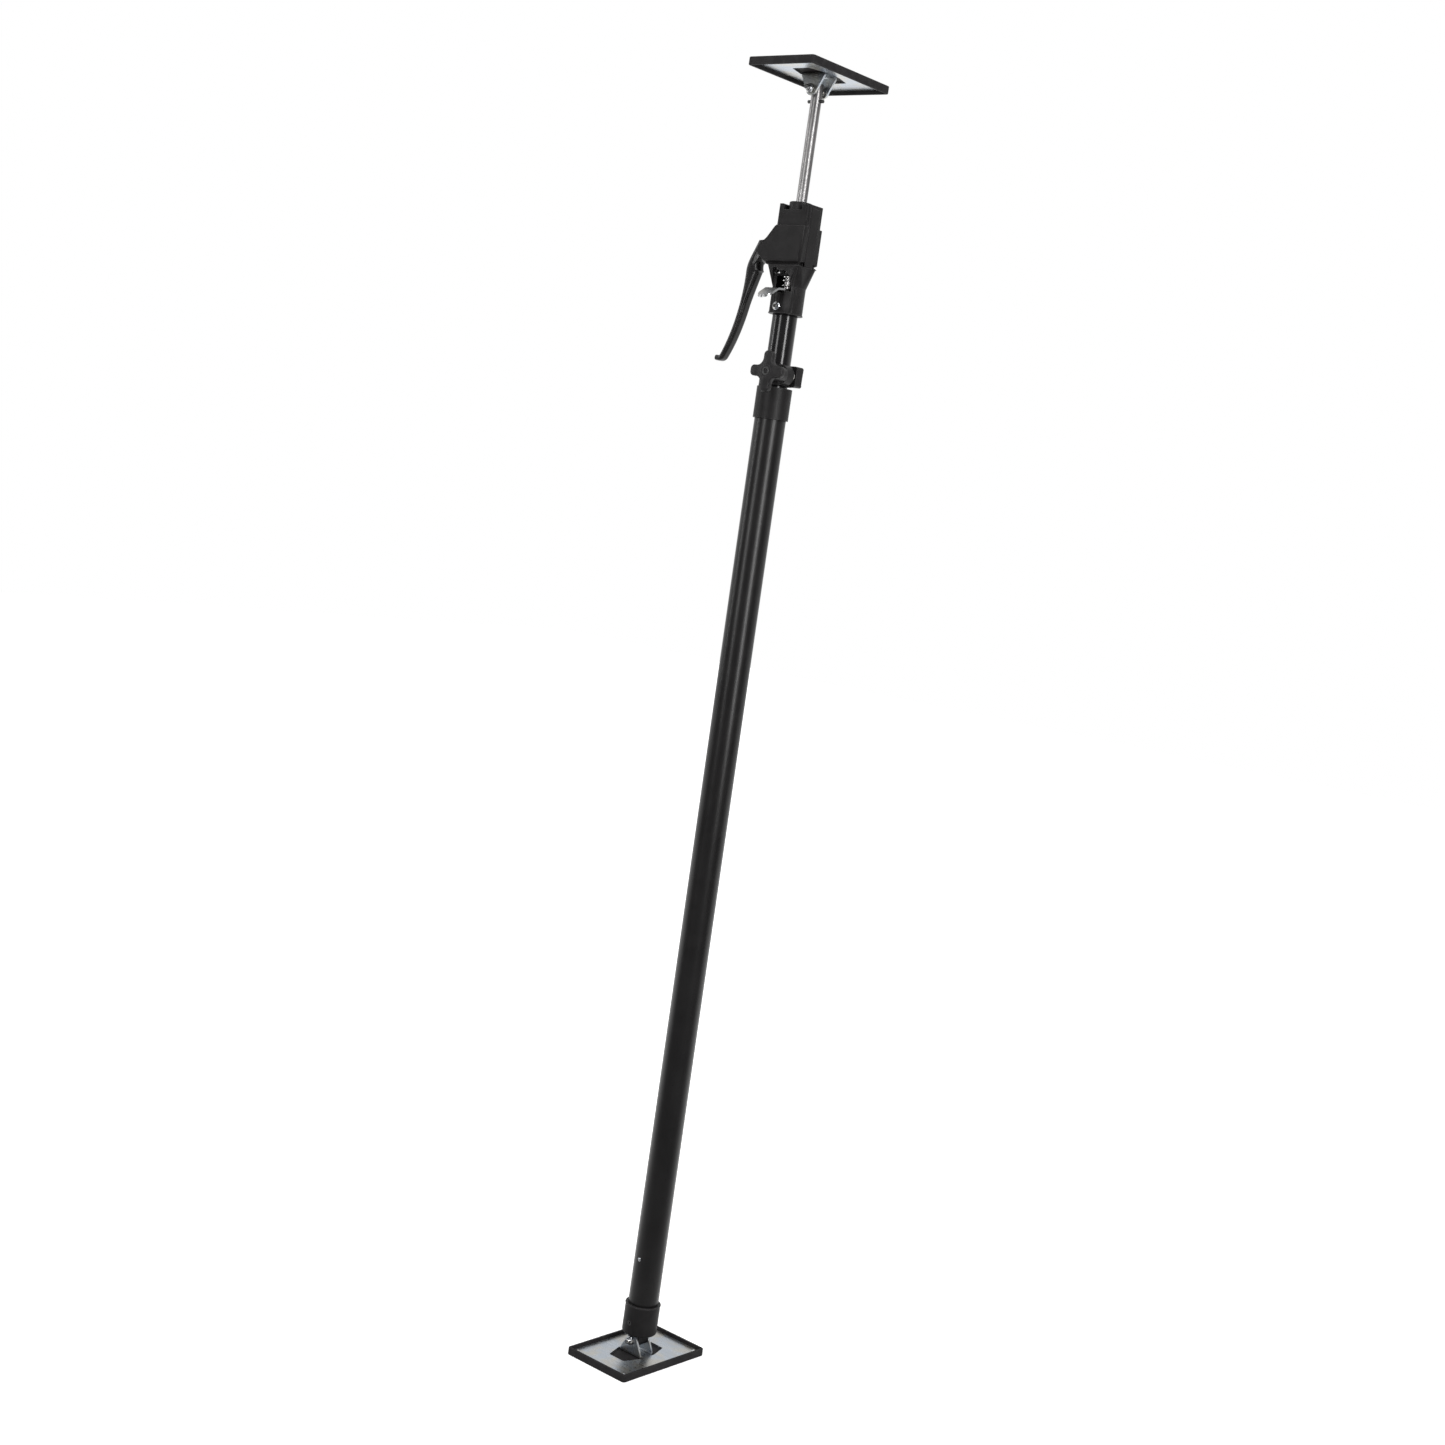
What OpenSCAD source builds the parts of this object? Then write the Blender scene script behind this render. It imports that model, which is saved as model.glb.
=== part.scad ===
// Telescopic support pole with a squeeze-lever jacking head, for holding boards up to a ceiling.
// Lengths are in millimetres and angles in degrees. The floor is z = 0 and the pole's axis is +Z.
// The squeeze lever points to -X; the release tab, the clamp knob and the nuts face -Y.

/* [Pads] */
// Length of a pad, along its tilt bolt
pad_len = 150.2; // [120:0.1:220]
// Width of a pad, across its tilt bolt
pad_w = 97.6; // [80:0.1:140]
// Height of the rubber tray
pad_h = 9.5; // [7:0.1:12]
// Rubber under the steel plate
pad_floor = 2.5; // [1.5:0.1:4]
// Width of the rubber rim round the plate
pad_rim = 3.5; // [2:0.1:6]
// Radius of the tray's upright corners
pad_corner_r = 4; // [2:0.1:10]
// Thickness of the steel plate and of the ears folded from it
plate_t = 2.5; // [1.5:0.1:3]
// Height of the tilt bolt over the pad's face
hinge_h = 22.4; // [21:0.1:30]
// Space between the two ears of a pad
ear_gap = 19; // [15:0.1:24]
// Radius of an ear's round tip
ear_tip_r = 7.7; // [6:0.1:7.8]
// Width of an ear where it leaves the plate
ear_root_w = 34; // [24:0.5:38]
// Inner radius of the fold at an ear's root
fold_r = 2; // [1:0.1:3]
// Distance from the pole's axis to the far edge of the cut-out that an ear is folded from
cutout_reach = 37; // [28:0.5:50]
// Width of the cut-out beside the ear
cutout_root_w = 40; // [38.5:0.5:50]
// Width of the cut-out at its far edge
cutout_tip_w = 20; // [12:0.5:30]
// Radius of the cut-out's corners
cutout_r = 3; // [1:0.1:4]
// Distance of the corner rivets from the plate's edges
rivet_inset = 6; // [4:0.1:12]
// Diameter of a corner rivet's head
rivet_head_d = 6; // [4:0.1:8]
// Diameter of a corner rivet's shank
rivet_d = 3; // [2:0.1:4]
// Height of a corner rivet's head
rivet_head_h = 1.1; // [0.6:0.1:2]

/* [Bolts] */
// Thread diameter of the tilt bolts and of the clamp bolt
bolt_d = 6; // [5:0.1:7]
// Width across the flats of their heads and nuts
bolt_af = 10; // [8.5:0.1:12]
// Height of a bolt head
bolt_head_h = 4; // [3:0.1:5]
// Height of a nut's six-sided part
nut_h = 5; // [4:0.1:7]
// Diameter of the nut's locking collar
nut_collar_d = 8.6; // [8:0.1:10]
// Height of the locking collar
nut_collar_h = 1.5; // [1:0.1:2.5]
// Length of thread that shows past the nut
bolt_out = 4; // [2:0.1:8]
// Chamfer on a bolt's end
bolt_chamfer = 0.6; // [0.2:0.1:1.2]

/* [Base collar] */
// Outer diameter of the base collar
collar_d = 43.8; // [41.5:0.1:46]
// Height of the base collar
collar_h = 38.7; // [30:0.1:60]
// Solid floor under the outer tube
collar_floor = 3.5; // [2.5:0.1:6]
// Gap between the ear tips and the collar's underside
collar_over_ears = 0.4; // [0.3:0.05:1.5]
// Rounding of the collar's lower edge
collar_edge_r = 3; // [1:0.1:3.4]
// Bead round the collar's upper edge
collar_bead = 0.6; // [0.3:0.1:1.2]
// Width of the tongue between the ears
tongue_w = 18; // [14:0.1:20]
// Height of the set screw over the collar's underside
set_screw_h = 16; // [9:0.1:26]
// Width across the flats of the set screw's key hole
set_screw_key = 3; // [2:0.1:4]
// Depth that the set screw lies under the collar's surface
set_screw_sunk = 0.6; // [0.2:0.1:1.2]

/* [Tubes] */
// Diameter of the outer tube
outer_tube_d = 38; // [36:0.1:40]
// Length of the outer tube
outer_tube_len = 1179; // [900:1:1500]
// Diameter of the inner tube
inner_tube_d = 30; // [28:0.1:31]
// Height of the inner tube's bush over the stop rivet, which is how far the pole can still close
tube_drop = 59.65; // [10:0.05:800]
// Wall of both tubes
tube_wall = 1.5; // [1:0.1:1.8]
// Length of inner tube that shows between the clamp and the jacking head
inner_tube_out = 58.9; // [20:0.1:400]
// Height of the guide bush on the inner tube's lower end
guide_bush_h = 25; // [15:0.5:50]
// Lip of the guide bush under the inner tube's end
guide_bush_lip = 2; // [1:0.1:4]
// Height of the stop rivet over the outer tube's lower end
stop_rivet_h = 94.5; // [60:0.5:96]
// Diameter of the stop rivet's head
stop_rivet_head_d = 5; // [4:0.1:7]
// Length that the stop rivet reaches into the outer tube
stop_rivet_in = 1.6; // [1:0.1:2]

/* [Clamp] */
// Diameter of the clamp's sleeve on the outer tube
sleeve_d = 42.6; // [40.5:0.1:46]
// Length of the clamp's sleeve
sleeve_h = 37.3; // [25:0.1:60]
// Height of the saw cut between sleeve and ring
saw_cut_h = 3.1; // [1.5:0.1:5]
// Reach of the saw cut behind the axis, which leaves a bridge at the back
saw_cut_back = 10; // [2:0.5:14]
// Diameter of the ring that grips the inner tube
ring_d = 39.6; // [36:0.1:44]
// Height of the ring
ring_h = 24.5; // [18:0.1:30]
// Slope at the ring's upper edge
ring_slope = 3; // [1:0.1:5]
// Thickness of a clamp ear
clamp_ear_t = 12.6; // [9:0.1:15]
// Gap between the clamp ears
clamp_gap = 3.8; // [3:0.1:6]
// Reach of the clamp ears from the pole's axis
clamp_reach = 28.4; // [27:0.1:36]
// Depth that the clamp ears run into the ring
clamp_ear_root = 6; // [5:0.1:9]
// Distance of the clamp bolt from the pole's axis
clamp_bolt_x = 21.5; // [19.5:0.1:22]
// Radius of the corners on the plainer clamp ear
clamp_corner_r = 3; // [1:0.1:6]
// Diameter of the washer in the gap
washer_d = 13; // [11:0.1:14]
// Thickness of the washer in the gap
washer_t = 1.6; // [1:0.1:2]

/* [Clamp knob] */
// Reach of a knob arm from the knob's axis
knob_reach = 24; // [20:0.1:32]
// Width of a knob arm
knob_arm_w = 13; // [9:0.1:16]
// Rounding of an arm's corners
knob_arm_r = 5; // [2:0.1:6]
// Radius of the hollows between the arms
knob_hollow_r = 9; // [5:0.1:10]
// Thickness of the star
knob_t = 7.3; // [5:0.1:10]
// Diameter of the knob's hub
knob_hub_d = 17; // [14:0.1:20]
// Length of the hub behind the star
knob_hub_len = 24.9; // [15:0.1:40]
// Diameter of the threaded insert
insert_d = 10; // [8.5:0.1:12]
// Length of the threaded insert
insert_len = 14; // [8:0.1:20]
// Height of the insert over the star's face
insert_out = 0.8; // [0.2:0.1:2]

/* [Housing] */
// Diameter of the socket on the inner tube
socket_d = 40; // [37:0.1:41]
// Height of the socket
socket_h = 32.1; // [28:0.1:45]
// Thickness of the rounded lip round the socket's mouth
socket_lip = 0.8; // [0.3:0.1:1.5]
// Depth that the inner tube enters the socket
tube_depth = 24.1; // [16:0.1:26]
// Height of the cone between socket and body
cone_h = 24.4; // [22:0.1:40]
// Width of the body, along the lever's pin
body_w = 36.6; // [36:0.1:44]
// Reach of the body behind the axis
body_back = 24.2; // [23:0.1:30]
// Reach of the cone's rim in front of the axis
cone_front = 25.5; // [25:0.1:30]
// Height of the body over the cone
body_h = 46.7; // [44:0.1:60]
// Reach of the body in front of the axis, without the cheeks
body_front = 20; // [19:0.1:24]
// Height of the block over the body
block_h = 25.8; // [22:0.1:34]
// Width of the block over the body
block_w = 28.2; // [27:0.1:34]
// Reach of the block in front of the axis
block_front = 22; // [19:0.1:24]
// Depth of the groove round the body
groove_depth = 3.5; // [1.5:0.1:3.8]
// Height of the groove round the body
groove_h = 5.5; // [3:0.1:7]
// Width of the spine on the body's back
spine_w = 17; // [12:0.1:20]
// Height of the spine over the body's back
spine_out = 0.6; // [0.2:0.1:1.5]
// Rounding of the body's upright edges
body_edge_r = 3; // [1:0.1:5]
// Reach of the cheeks in front of the axis
cheek_reach = 43.1; // [42.5:0.1:50]
// Width of the cavity between the cheeks and in the body
cavity_w = 25; // [24:0.1:26]
// Length of the notch in the block's side walls
notch_len = 27.7; // [20:0.1:32]
// Depth of the notch in the block's side walls
notch_depth = 6.7; // [3:0.1:9]
// Diameter of the rod guide's flange
guide_d = 27.6; // [24:0.1:28]
// Diameter of the rod guide's stem
guide_stem_d = 22; // [19:0.1:23]
// Depth of the rod guide's stem under its flange
guide_stem_h = 14; // [8:0.1:18]
// Height of the rod guide's flange
guide_flange_h = 9.8; // [6:0.1:12]
// Height of the socket screw over the socket's mouth
socket_screw_h = 8.1; // [6:0.1:14]
// Diameter of the socket screw's round head
socket_screw_head_d = 10.6; // [9:0.1:12]
// Height of the socket screw's round head
socket_screw_head_h = 2.8; // [2:0.1:4]
// Width across the flats of the socket screw's key hole
socket_screw_key = 4; // [3:0.1:5]
// Depth of the socket screw's key hole
socket_screw_key_depth = 2.2; // [1:0.1:3]

/* [Release window] */
// Left edge of the window, from the axis
window_front = 17; // [15.5:0.1:17.5]
// Right edge of the window, from the axis
window_back = 14.5; // [12:0.1:16]
// Height of the window
window_h = 24.3; // [22:0.1:26]
// Radius of the window's upper right corner
window_r = 13; // [6:0.1:14]
// Floor between the window and the tube seat
window_floor = 2.1; // [1.5:0.1:3]
// Height of the small relief over the window
relief_h = 3.1; // [1:0.1:4]
// Length of the small relief over the window
relief_len = 8; // [4:0.1:12]
// Distance of the small relief from the window's left edge
relief_in = 2; // [0.5:0.1:4]
// Diameter of the release plate's room behind the window
room_d = 33; // [31:0.1:34]
// Depth of the pocket that holds the release plate's heel
heel_depth = 1.1; // [0.5:0.1:2]
// Height of the release plate's heel over the window's sill
heel_up = 4.7; // [4.7:0.1:6]
// Drop from the window's top to the floor of the cavity over it
web_drop = 2.5; // [1:0.1:3]
// Thickness of the web between that cavity and the release plate's room
web_t = 2.5; // [1.5:0.1:3]

/* [Squeeze lever] */
// Distance of the lever's pin in front of the axis
pin_front = 33; // [32.5:0.1:34]
// Height of the lever's pin over the cone
pin_up = 19; // [18.5:0.1:20]
// Diameter of the lever's pin
pin_d = 6; // [4:0.1:6.5]
// Depth of the blind hole that the pin ends in, in the near cheek
pin_blind = 3; // [1.5:0.1:4]
// Angle that the lever turns through in one squeeze
lever_stroke = 20; // [10:0.5:20]
// Radius of the lever's boss round the pin
boss_r = 6.7; // [5:0.1:6.8]
// Reach of the lever's tip in front of its pin
lever_reach = 65; // [50:0.5:75]
// Drop of the lever's tip under its pin
lever_drop = 132.5; // [110:0.5:150]
// Width of the lever at the top
lever_w = 17; // [13:0.1:20]
// Width of the lever at its tip
lever_tip_w = 11; // [8:0.1:14]
// Thickness of the lever at the top
lever_t = 9.6; // [7:0.1:11]
// Thickness of the lever at its tip
lever_tip_t = 4; // [3:0.1:6]
// Reach of the toe behind the lever's pin
toe_reach = 18.5; // [18:0.1:19]
// Radius of the toe's nose
toe_r = 2.5; // [2:0.1:2.5]

/* [Plates and springs] */
// Thickness of the drive plate
drive_plate_t = 4; // [3:0.1:5]
// Width of the drive plate
drive_plate_w = 24; // [20:0.1:24.4]
// Reach of the drive plate in front of the axis
drive_plate_front = 17.5; // [17:0.1:18]
// Reach of the drive plate behind the axis
drive_plate_back = 16; // [13:0.1:16.5]
// Thickness of the release plate
release_plate_t = 2.2; // [1.8:0.1:2.6]
// Width of the release plate
release_plate_w = 20; // [18:0.1:22]
// Tilt at which the release plate holds the rod
release_tilt = 5.3; // [4:0.1:6]
// Distance of the release plate's round heel from the axis
release_heel = 14.1; // [13:0.1:14.5]
// Flat length of the release plate, from its heel to the bend
release_flat = 44; // [38:0.5:52]
// Length of the thumb tab past the bend
tab_len = 24; // [18:0.5:32]
// Angle between the thumb tab and the plate
tab_bend = 28; // [10:1:40]
// Inner radius of the tab's bend
tab_bend_r = 4; // [2:0.1:8]
// Outer diameter of both springs
spring_d = 20; // [18.5:0.1:20.6]
// Wire of both springs
spring_wire = 2; // [1.4:0.1:2.2]
// Turns of the release spring
release_turns = 3; // [2:0.5:3.5]
// Turns of the drive spring
drive_turns = 8; // [5:0.5:10]

/* [Rod] */
// Diameter of the lift rod
rod_d = 13; // [12:0.1:13.4]
// Length of rod between the head's top and the upper tilt bolt
rod_out = 130.8; // [60:0.1:240]
// Length of rod over the upper tilt bolt
rod_over_bolt = 8; // [6:0.1:9]
// Height that the rod can still rise from here
rod_rise = 118; // [60:0.5:180]
// Distance of the stop pin under the upper tilt bolt
stop_pin_drop = 12.4; // [11:0.1:30]
// Diameter of the cross pins in the rod
cross_pin_d = 4; // [3:0.1:5]
// Length of the stop pin under the upper pad
stop_pin_len = 23; // [17:0.1:30]
// Length of the pin at the rod's lower end
end_pin_len = 20; // [16:0.1:24]
// Chamfer on the rod's ends
rod_chamfer = 1; // [0.3:0.1:2]

/* [Clearances] */
// Running clearance, on the radius, between a pin or bolt and what turns or slides on it
fit_gap = 0.06; // [0.02:0.01:0.1]
// Clearance between moving faces
side_gap = 0.3; // [0.2:0.05:0.4]
// Clearance, on the radius, where one piece is fixed in another
seat_gap = 0.05; // [0.02:0.01:0.1]
// Clearance, on the radius, between the rod and the holes of the two plates
plate_hole_gap = 0.6; // [0.5:0.05:0.8]

/* [Hidden] */

$fn = 64;
// How far a cut runs past the face that it opens
overrun = 1;
// Thickness of the slabs that a loft is drawn between
skin = 0.02;

// Heights over the floor, from the foot up
collar_z = hinge_h + ear_tip_r + collar_over_ears;
outer_tube_z = collar_z + collar_floor;
outer_tube_top = outer_tube_z + outer_tube_len;
ring_z = outer_tube_top + saw_cut_h + seat_gap;
ring_top = ring_z + ring_h;
socket_z = ring_top + inner_tube_out;
tube_seat_z = socket_z + tube_depth;
inner_tube_z = outer_tube_z + stop_rivet_h + rivet_d / 2 + tube_drop + guide_bush_lip;
inner_tube_len = tube_seat_z - inner_tube_z;
cone_z = socket_z + socket_h;
body_z = cone_z + cone_h;
block_z = body_z + body_h;
block_top = block_z + block_h;
guide_top = block_top - notch_depth + guide_flange_h + seat_gap;
top_hinge_z = guide_top + rod_out;
top_z = top_hinge_z + hinge_h;

// The ear's faces, from the middle of the pad
ear_in = ear_gap / 2;
ear_out = ear_in + plate_t;

// The lever's pin and the toe under the drive plate
pin_x = -pin_front;
pin_z = body_z + pin_up;
window_z = tube_seat_z + window_floor;
window_top = window_z + window_h;
cavity_z = window_top - web_drop;
drive_plate_z = cavity_z + side_gap + 2 * toe_r + side_gap;
toe_z = drive_plate_z - side_gap - toe_r;
toe_lift = toe_reach * sin(lever_stroke) + (toe_z - pin_z) * (cos(lever_stroke) - 1);
drive_cavity_top = drive_plate_z + drive_plate_t + toe_lift + side_gap;
guide_stem_z = block_top - notch_depth - guide_stem_h;
release_heel_z = window_z + heel_up;

// Places an upright shape along Y, with the shape's own height from y = 0 on
module along_y(y = 0, x = 0, z = 0) {
    translate([x, y, z]) rotate([-90, 0, 0]) children();
}

// Draws an outline given in x and z, to the width w along Y
module across(w) {
    rotate([90, 0, 0]) linear_extrude(w, center = true) children();
}

// Plan of a block with round upright edges
module round_plan(x0, x1, w, r) {
    translate([x0 + r, -w / 2]) square([x1 - x0 - 2 * r, w]);
    translate([x0, -w / 2 + r]) square([x1 - x0, w - 2 * r]);
    for (x = [x0 + r, x1 - r], s = [-1, 1]) translate([x, s * (w / 2 - r)]) circle(r);
}

// Round hole or round bar with a chamfer of size c at its far end
module chamfered_bar(d, h, c) {
    cylinder(d = d, h = h - c);
    translate([0, 0, h - c]) cylinder(d1 = d, d2 = d - 2 * c, h = c);
}

module hexagon_bar(af, h) {
    cylinder(d = af / cos(30), h = h, $fn = 6);
}

module tube(d, wall, h) {
    difference() {
        cylinder(d = d, h = h);
        translate([0, 0, -overrun]) cylinder(d = d - 2 * wall, h = h + 2 * overrun);
    }
}

// Turns the lower pad's pieces over onto the upper tilt bolt
module upper() {
    translate([0, 0, top_z]) mirror([0, 0, 1]) children();
}

// Tangent point on the ear's tip circle, seen from the ear's root corner (x, z)
function ear_tangent(x, z) =
    let (far = norm([x, z]), a = atan2(z, x) + acos(ear_tip_r / far))
    [ear_tip_r * cos(a), ear_tip_r * sin(a)];

module ear_outline() {
    root_z = pad_floor + plate_t + fold_r - hinge_h;
    t = ear_tangent(ear_root_w / 2, root_z);
    polygon([[-ear_root_w / 2, root_z], [ear_root_w / 2, root_z], t, [-t[0], t[1]]]);
    circle(ear_tip_r);
}

// Ear with its fold on the +Y side of a pad
module ear() {
    translate([0, ear_in + plate_t / 2, hinge_h]) across(plate_t) ear_outline();
    outer_r = fold_r + plate_t;
    translate([0, ear_in - fold_r, pad_floor + outer_r]) rotate([0, 90, 0])
        linear_extrude(ear_root_w, center = true) intersection() {
            difference() {
                circle(outer_r);
                circle(fold_r);
            }
            square(outer_r);
        }
}

// Cut-out that the +Y ear is folded from
module cutout() {
    start = ear_in - fold_r;
    a = cutout_root_w / 2;
    b = cutout_tip_w / 2;
    translate([0, 0, pad_floor - overrun]) linear_extrude(plate_t + 2 * overrun) {
        polygon([[-a, start], [a, start], [a, ear_out], [b + cutout_r, cutout_reach - cutout_r],
            [b, cutout_reach], [-b, cutout_reach], [-b - cutout_r, cutout_reach - cutout_r], [-a, ear_out]]);
        for (s = [-1, 1]) translate([s * b, cutout_reach - cutout_r]) circle(cutout_r);
    }
}

// Places copies at a pad's four corner rivets
module at_rivets() {
    x = pad_w / 2 - pad_rim - rivet_inset;
    y = pad_len / 2 - pad_rim - rivet_inset;
    for (sx = [-1, 1], sy = [-1, 1]) translate([sx * x, sy * y, 0]) children();
}

module pad_rubber() {
    inner_w = pad_w - 2 * pad_rim;
    inner_r = max(pad_corner_r - pad_rim, pad_rim / 2);
    color("#2b292a") difference() {
        linear_extrude(pad_h) round_plan(-pad_w / 2, pad_w / 2, pad_len, pad_corner_r);
        translate([0, 0, pad_floor]) linear_extrude(pad_h)
            round_plan(-inner_w / 2, inner_w / 2, pad_len - 2 * pad_rim, inner_r);
        at_rivets() translate([0, 0, pad_floor / 2]) cylinder(d = rivet_d, h = pad_floor);
    }
}

module pad_plate() {
    w = pad_w - 2 * pad_rim - 2 * seat_gap;
    len = pad_len - 2 * pad_rim - 2 * seat_gap;
    inner_r = max(pad_corner_r - pad_rim, pad_rim / 2);
    color("#b9bfc6") difference() {
        union() {
            difference() {
                translate([0, 0, pad_floor]) linear_extrude(plate_t)
                    round_plan(-w / 2, w / 2, len, inner_r);
                for (s = [0, 1]) mirror([0, s, 0]) cutout();
            }
            for (s = [0, 1]) mirror([0, s, 0]) ear();
        }
        along_y(-ear_out - overrun, 0, hinge_h)
            cylinder(d = bolt_d + 2 * fit_gap, h = 2 * (ear_out + overrun));
        at_rivets() translate([0, 0, pad_floor - overrun])
            cylinder(d = rivet_d + 2 * seat_gap, h = plate_t + 2 * overrun);
    }
}

module pad_rivets() {
    color("#aeb4ba") at_rivets() {
        translate([0, 0, pad_floor / 2]) cylinder(d = rivet_d, h = pad_floor / 2 + plate_t + skin);
        translate([0, 0, pad_floor + plate_t])
            cylinder(d1 = rivet_head_d, d2 = rivet_d, h = rivet_head_h);
    }
}

module tilt_bolt() {
    color("#9a9c9e") {
        along_y(ear_out, 0, hinge_h) hexagon_bar(bolt_af, bolt_head_h);
        translate([0, ear_out + skin, hinge_h]) rotate([90, 0, 0])
            chamfered_bar(bolt_d, 2 * ear_out + nut_h + nut_collar_h + bolt_out, bolt_chamfer);
    }
}

module lock_nut() {
    color("#c3c5c6") difference() {
        union() {
            translate([0, -ear_out, hinge_h]) rotate([90, 0, 0]) hexagon_bar(bolt_af, nut_h);
            translate([0, -ear_out - nut_h + skin, hinge_h]) rotate([90, 0, 0])
                cylinder(d = nut_collar_d, h = nut_collar_h);
        }
        along_y(-ear_out - nut_h - nut_collar_h - overrun, 0, hinge_h)
            cylinder(d = bolt_d + 2 * seat_gap, h = nut_h + nut_collar_h + 2 * overrun);
    }
}

module foot_rubber_pad() { pad_rubber(); }
module foot_plate() { pad_plate(); }
module foot_plate_rivets() { pad_rivets(); }
module foot_bolt() { tilt_bolt(); }
module foot_nut() { lock_nut(); }
module top_rubber_pad() { upper() pad_rubber(); }
module top_plate() { upper() pad_plate(); }
module top_plate_rivets() { upper() pad_rivets(); }
module top_bolt() { upper() tilt_bolt(); }
module top_nut() { upper() lock_nut(); }

// Distance sleeves that centre the rod between the upper ears
module top_spacers() {
    from = rod_d / 2 + side_gap;
    color("#a8abad") for (s = [0, 1]) mirror([0, s, 0]) along_y(from, 0, top_hinge_z)
        difference() {
            cylinder(d = bolt_af, h = ear_in - from);
            translate([0, 0, -overrun]) cylinder(d = bolt_d + 2 * fit_gap, h = ear_in);
        }
}

// Half section of the base collar, with its round lower edge and its upper bead
module collar_section() {
    r = collar_d / 2;
    translate([0, collar_edge_r]) square([r, collar_h - collar_edge_r]);
    square([r - collar_edge_r, collar_edge_r + overrun]);
    translate([r - collar_edge_r, collar_edge_r]) circle(collar_edge_r);
    translate([r, collar_h - 2 * collar_bead]) circle(collar_bead);
}

module base_collar() {
    screw_z = collar_z + set_screw_h;
    color("#2a2829") difference() {
        union() {
            translate([0, 0, collar_z]) rotate_extrude() collar_section();
            translate([0, 0, hinge_h]) across(ear_gap - 2 * side_gap) {
                circle(d = tongue_w);
                translate([-tongue_w / 2, 0]) square([tongue_w, collar_z - hinge_h + collar_edge_r]);
            }
        }
        translate([0, 0, outer_tube_z])
            cylinder(d = outer_tube_d + 2 * seat_gap, h = collar_h + overrun);
        along_y(-ear_gap, 0, hinge_h) cylinder(d = bolt_d + 2 * fit_gap, h = 2 * ear_gap);
        along_y(-collar_d, 0, screw_z) cylinder(d = bolt_d + 2 * seat_gap, h = collar_d);
    }
}

module base_set_screw() {
    face = collar_d / 2 - set_screw_sunk;
    len = face - outer_tube_d / 2 + tube_wall;
    color("#8d8f91") along_y(-face, 0, collar_z + set_screw_h) difference() {
        cylinder(d = bolt_d, h = len);
        translate([0, 0, -overrun]) hexagon_bar(set_screw_key, len / 2 + overrun);
    }
}

module outer_tube() {
    color("#323031") difference() {
        translate([0, 0, outer_tube_z]) tube(outer_tube_d, tube_wall, outer_tube_len);
        along_y(-outer_tube_d, 0, collar_z + set_screw_h)
            cylinder(d = bolt_d + 2 * seat_gap, h = outer_tube_d);
        along_y(-outer_tube_d, 0, outer_tube_z + stop_rivet_h)
            cylinder(d = rivet_d + 2 * seat_gap, h = outer_tube_d);
    }
}

module stop_rivet() {
    r = outer_tube_d / 2;
    color("#c9cbcc") along_y(-r - rivet_head_h, 0, outer_tube_z + stop_rivet_h) {
        cylinder(d1 = rivet_d, d2 = stop_rivet_head_d, h = rivet_head_h);
        cylinder(d = rivet_d, h = rivet_head_h + tube_wall + stop_rivet_in);
    }
}

// Side view of a clamp ear, with corners of radius r at its free end
module clamp_ear(r) {
    from = ring_d / 2 - clamp_ear_root;
    square_w = clamp_reach - r - from;
    translate([from, 0]) square([square_w, ring_h]);
    translate([from, r]) square([clamp_reach - from, ring_h - 2 * r]);
    for (z = [r, ring_h - r]) translate([clamp_reach - r, z]) circle(r);
}

// Half section of the clamp's sleeve and of its ring with the sloped upper edge
module clamp_section() {
    bottom = outer_tube_top - sleeve_h;
    translate([0, bottom]) square([sleeve_d / 2, ring_z - saw_cut_h - bottom]);
    polygon([[0, ring_z - saw_cut_h], [ring_d / 2, ring_z - saw_cut_h], [ring_d / 2, ring_top - ring_slope],
        [ring_d / 2 - ring_slope / 2, ring_top - ring_slope / 3], [ring_d / 2 - ring_slope, ring_top],
        [0, ring_top]]);
}

module clamp_collar() {
    grip_d = inner_tube_d + 2 * fit_gap;
    ear_y = (clamp_gap + clamp_ear_t) / 2;
    color("#2b292a") difference() {
        union() {
            rotate_extrude() clamp_section();
            translate([0, -ear_y, ring_z]) across(clamp_ear_t) clamp_ear(ring_h / 2 - skin);
            translate([0, ear_y, ring_z]) across(clamp_ear_t) clamp_ear(clamp_corner_r);
        }
        translate([0, 0, outer_tube_top - sleeve_h - overrun])
            cylinder(d = outer_tube_d + 2 * seat_gap, h = sleeve_h + overrun + seat_gap);
        translate([0, 0, outer_tube_top - overrun]) cylinder(d = grip_d, h = 2 * ring_h);
        translate([-saw_cut_back, -sleeve_d, ring_z - saw_cut_h])
            cube([2 * clamp_reach, 2 * sleeve_d, saw_cut_h]);
        translate([0, -clamp_gap / 2, ring_z - saw_cut_h])
            cube([2 * clamp_reach, clamp_gap, 2 * ring_h]);
        along_y(-clamp_reach, clamp_bolt_x, ring_z + ring_h / 2)
            cylinder(d = bolt_d + 2 * fit_gap, h = 2 * clamp_reach);
        along_y(clamp_gap / 2 + clamp_ear_t - bolt_head_h, clamp_bolt_x, ring_z + ring_h / 2)
            hexagon_bar(bolt_af + 2 * fit_gap, bolt_head_h + overrun);
    }
}

// The knob's hub starts clear of the clamp's near ear and of the ring beside it
ring_beside_hub = sqrt(pow(ring_d / 2, 2) - pow(clamp_bolt_x - knob_hub_d / 2, 2));
knob_start = max(clamp_gap / 2 + clamp_ear_t, ring_beside_hub) + side_gap;
// The knob's star lies between these two distances in front of the pole's axis
knob_back = knob_start + knob_hub_len;
knob_face = knob_back + knob_t;

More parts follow.
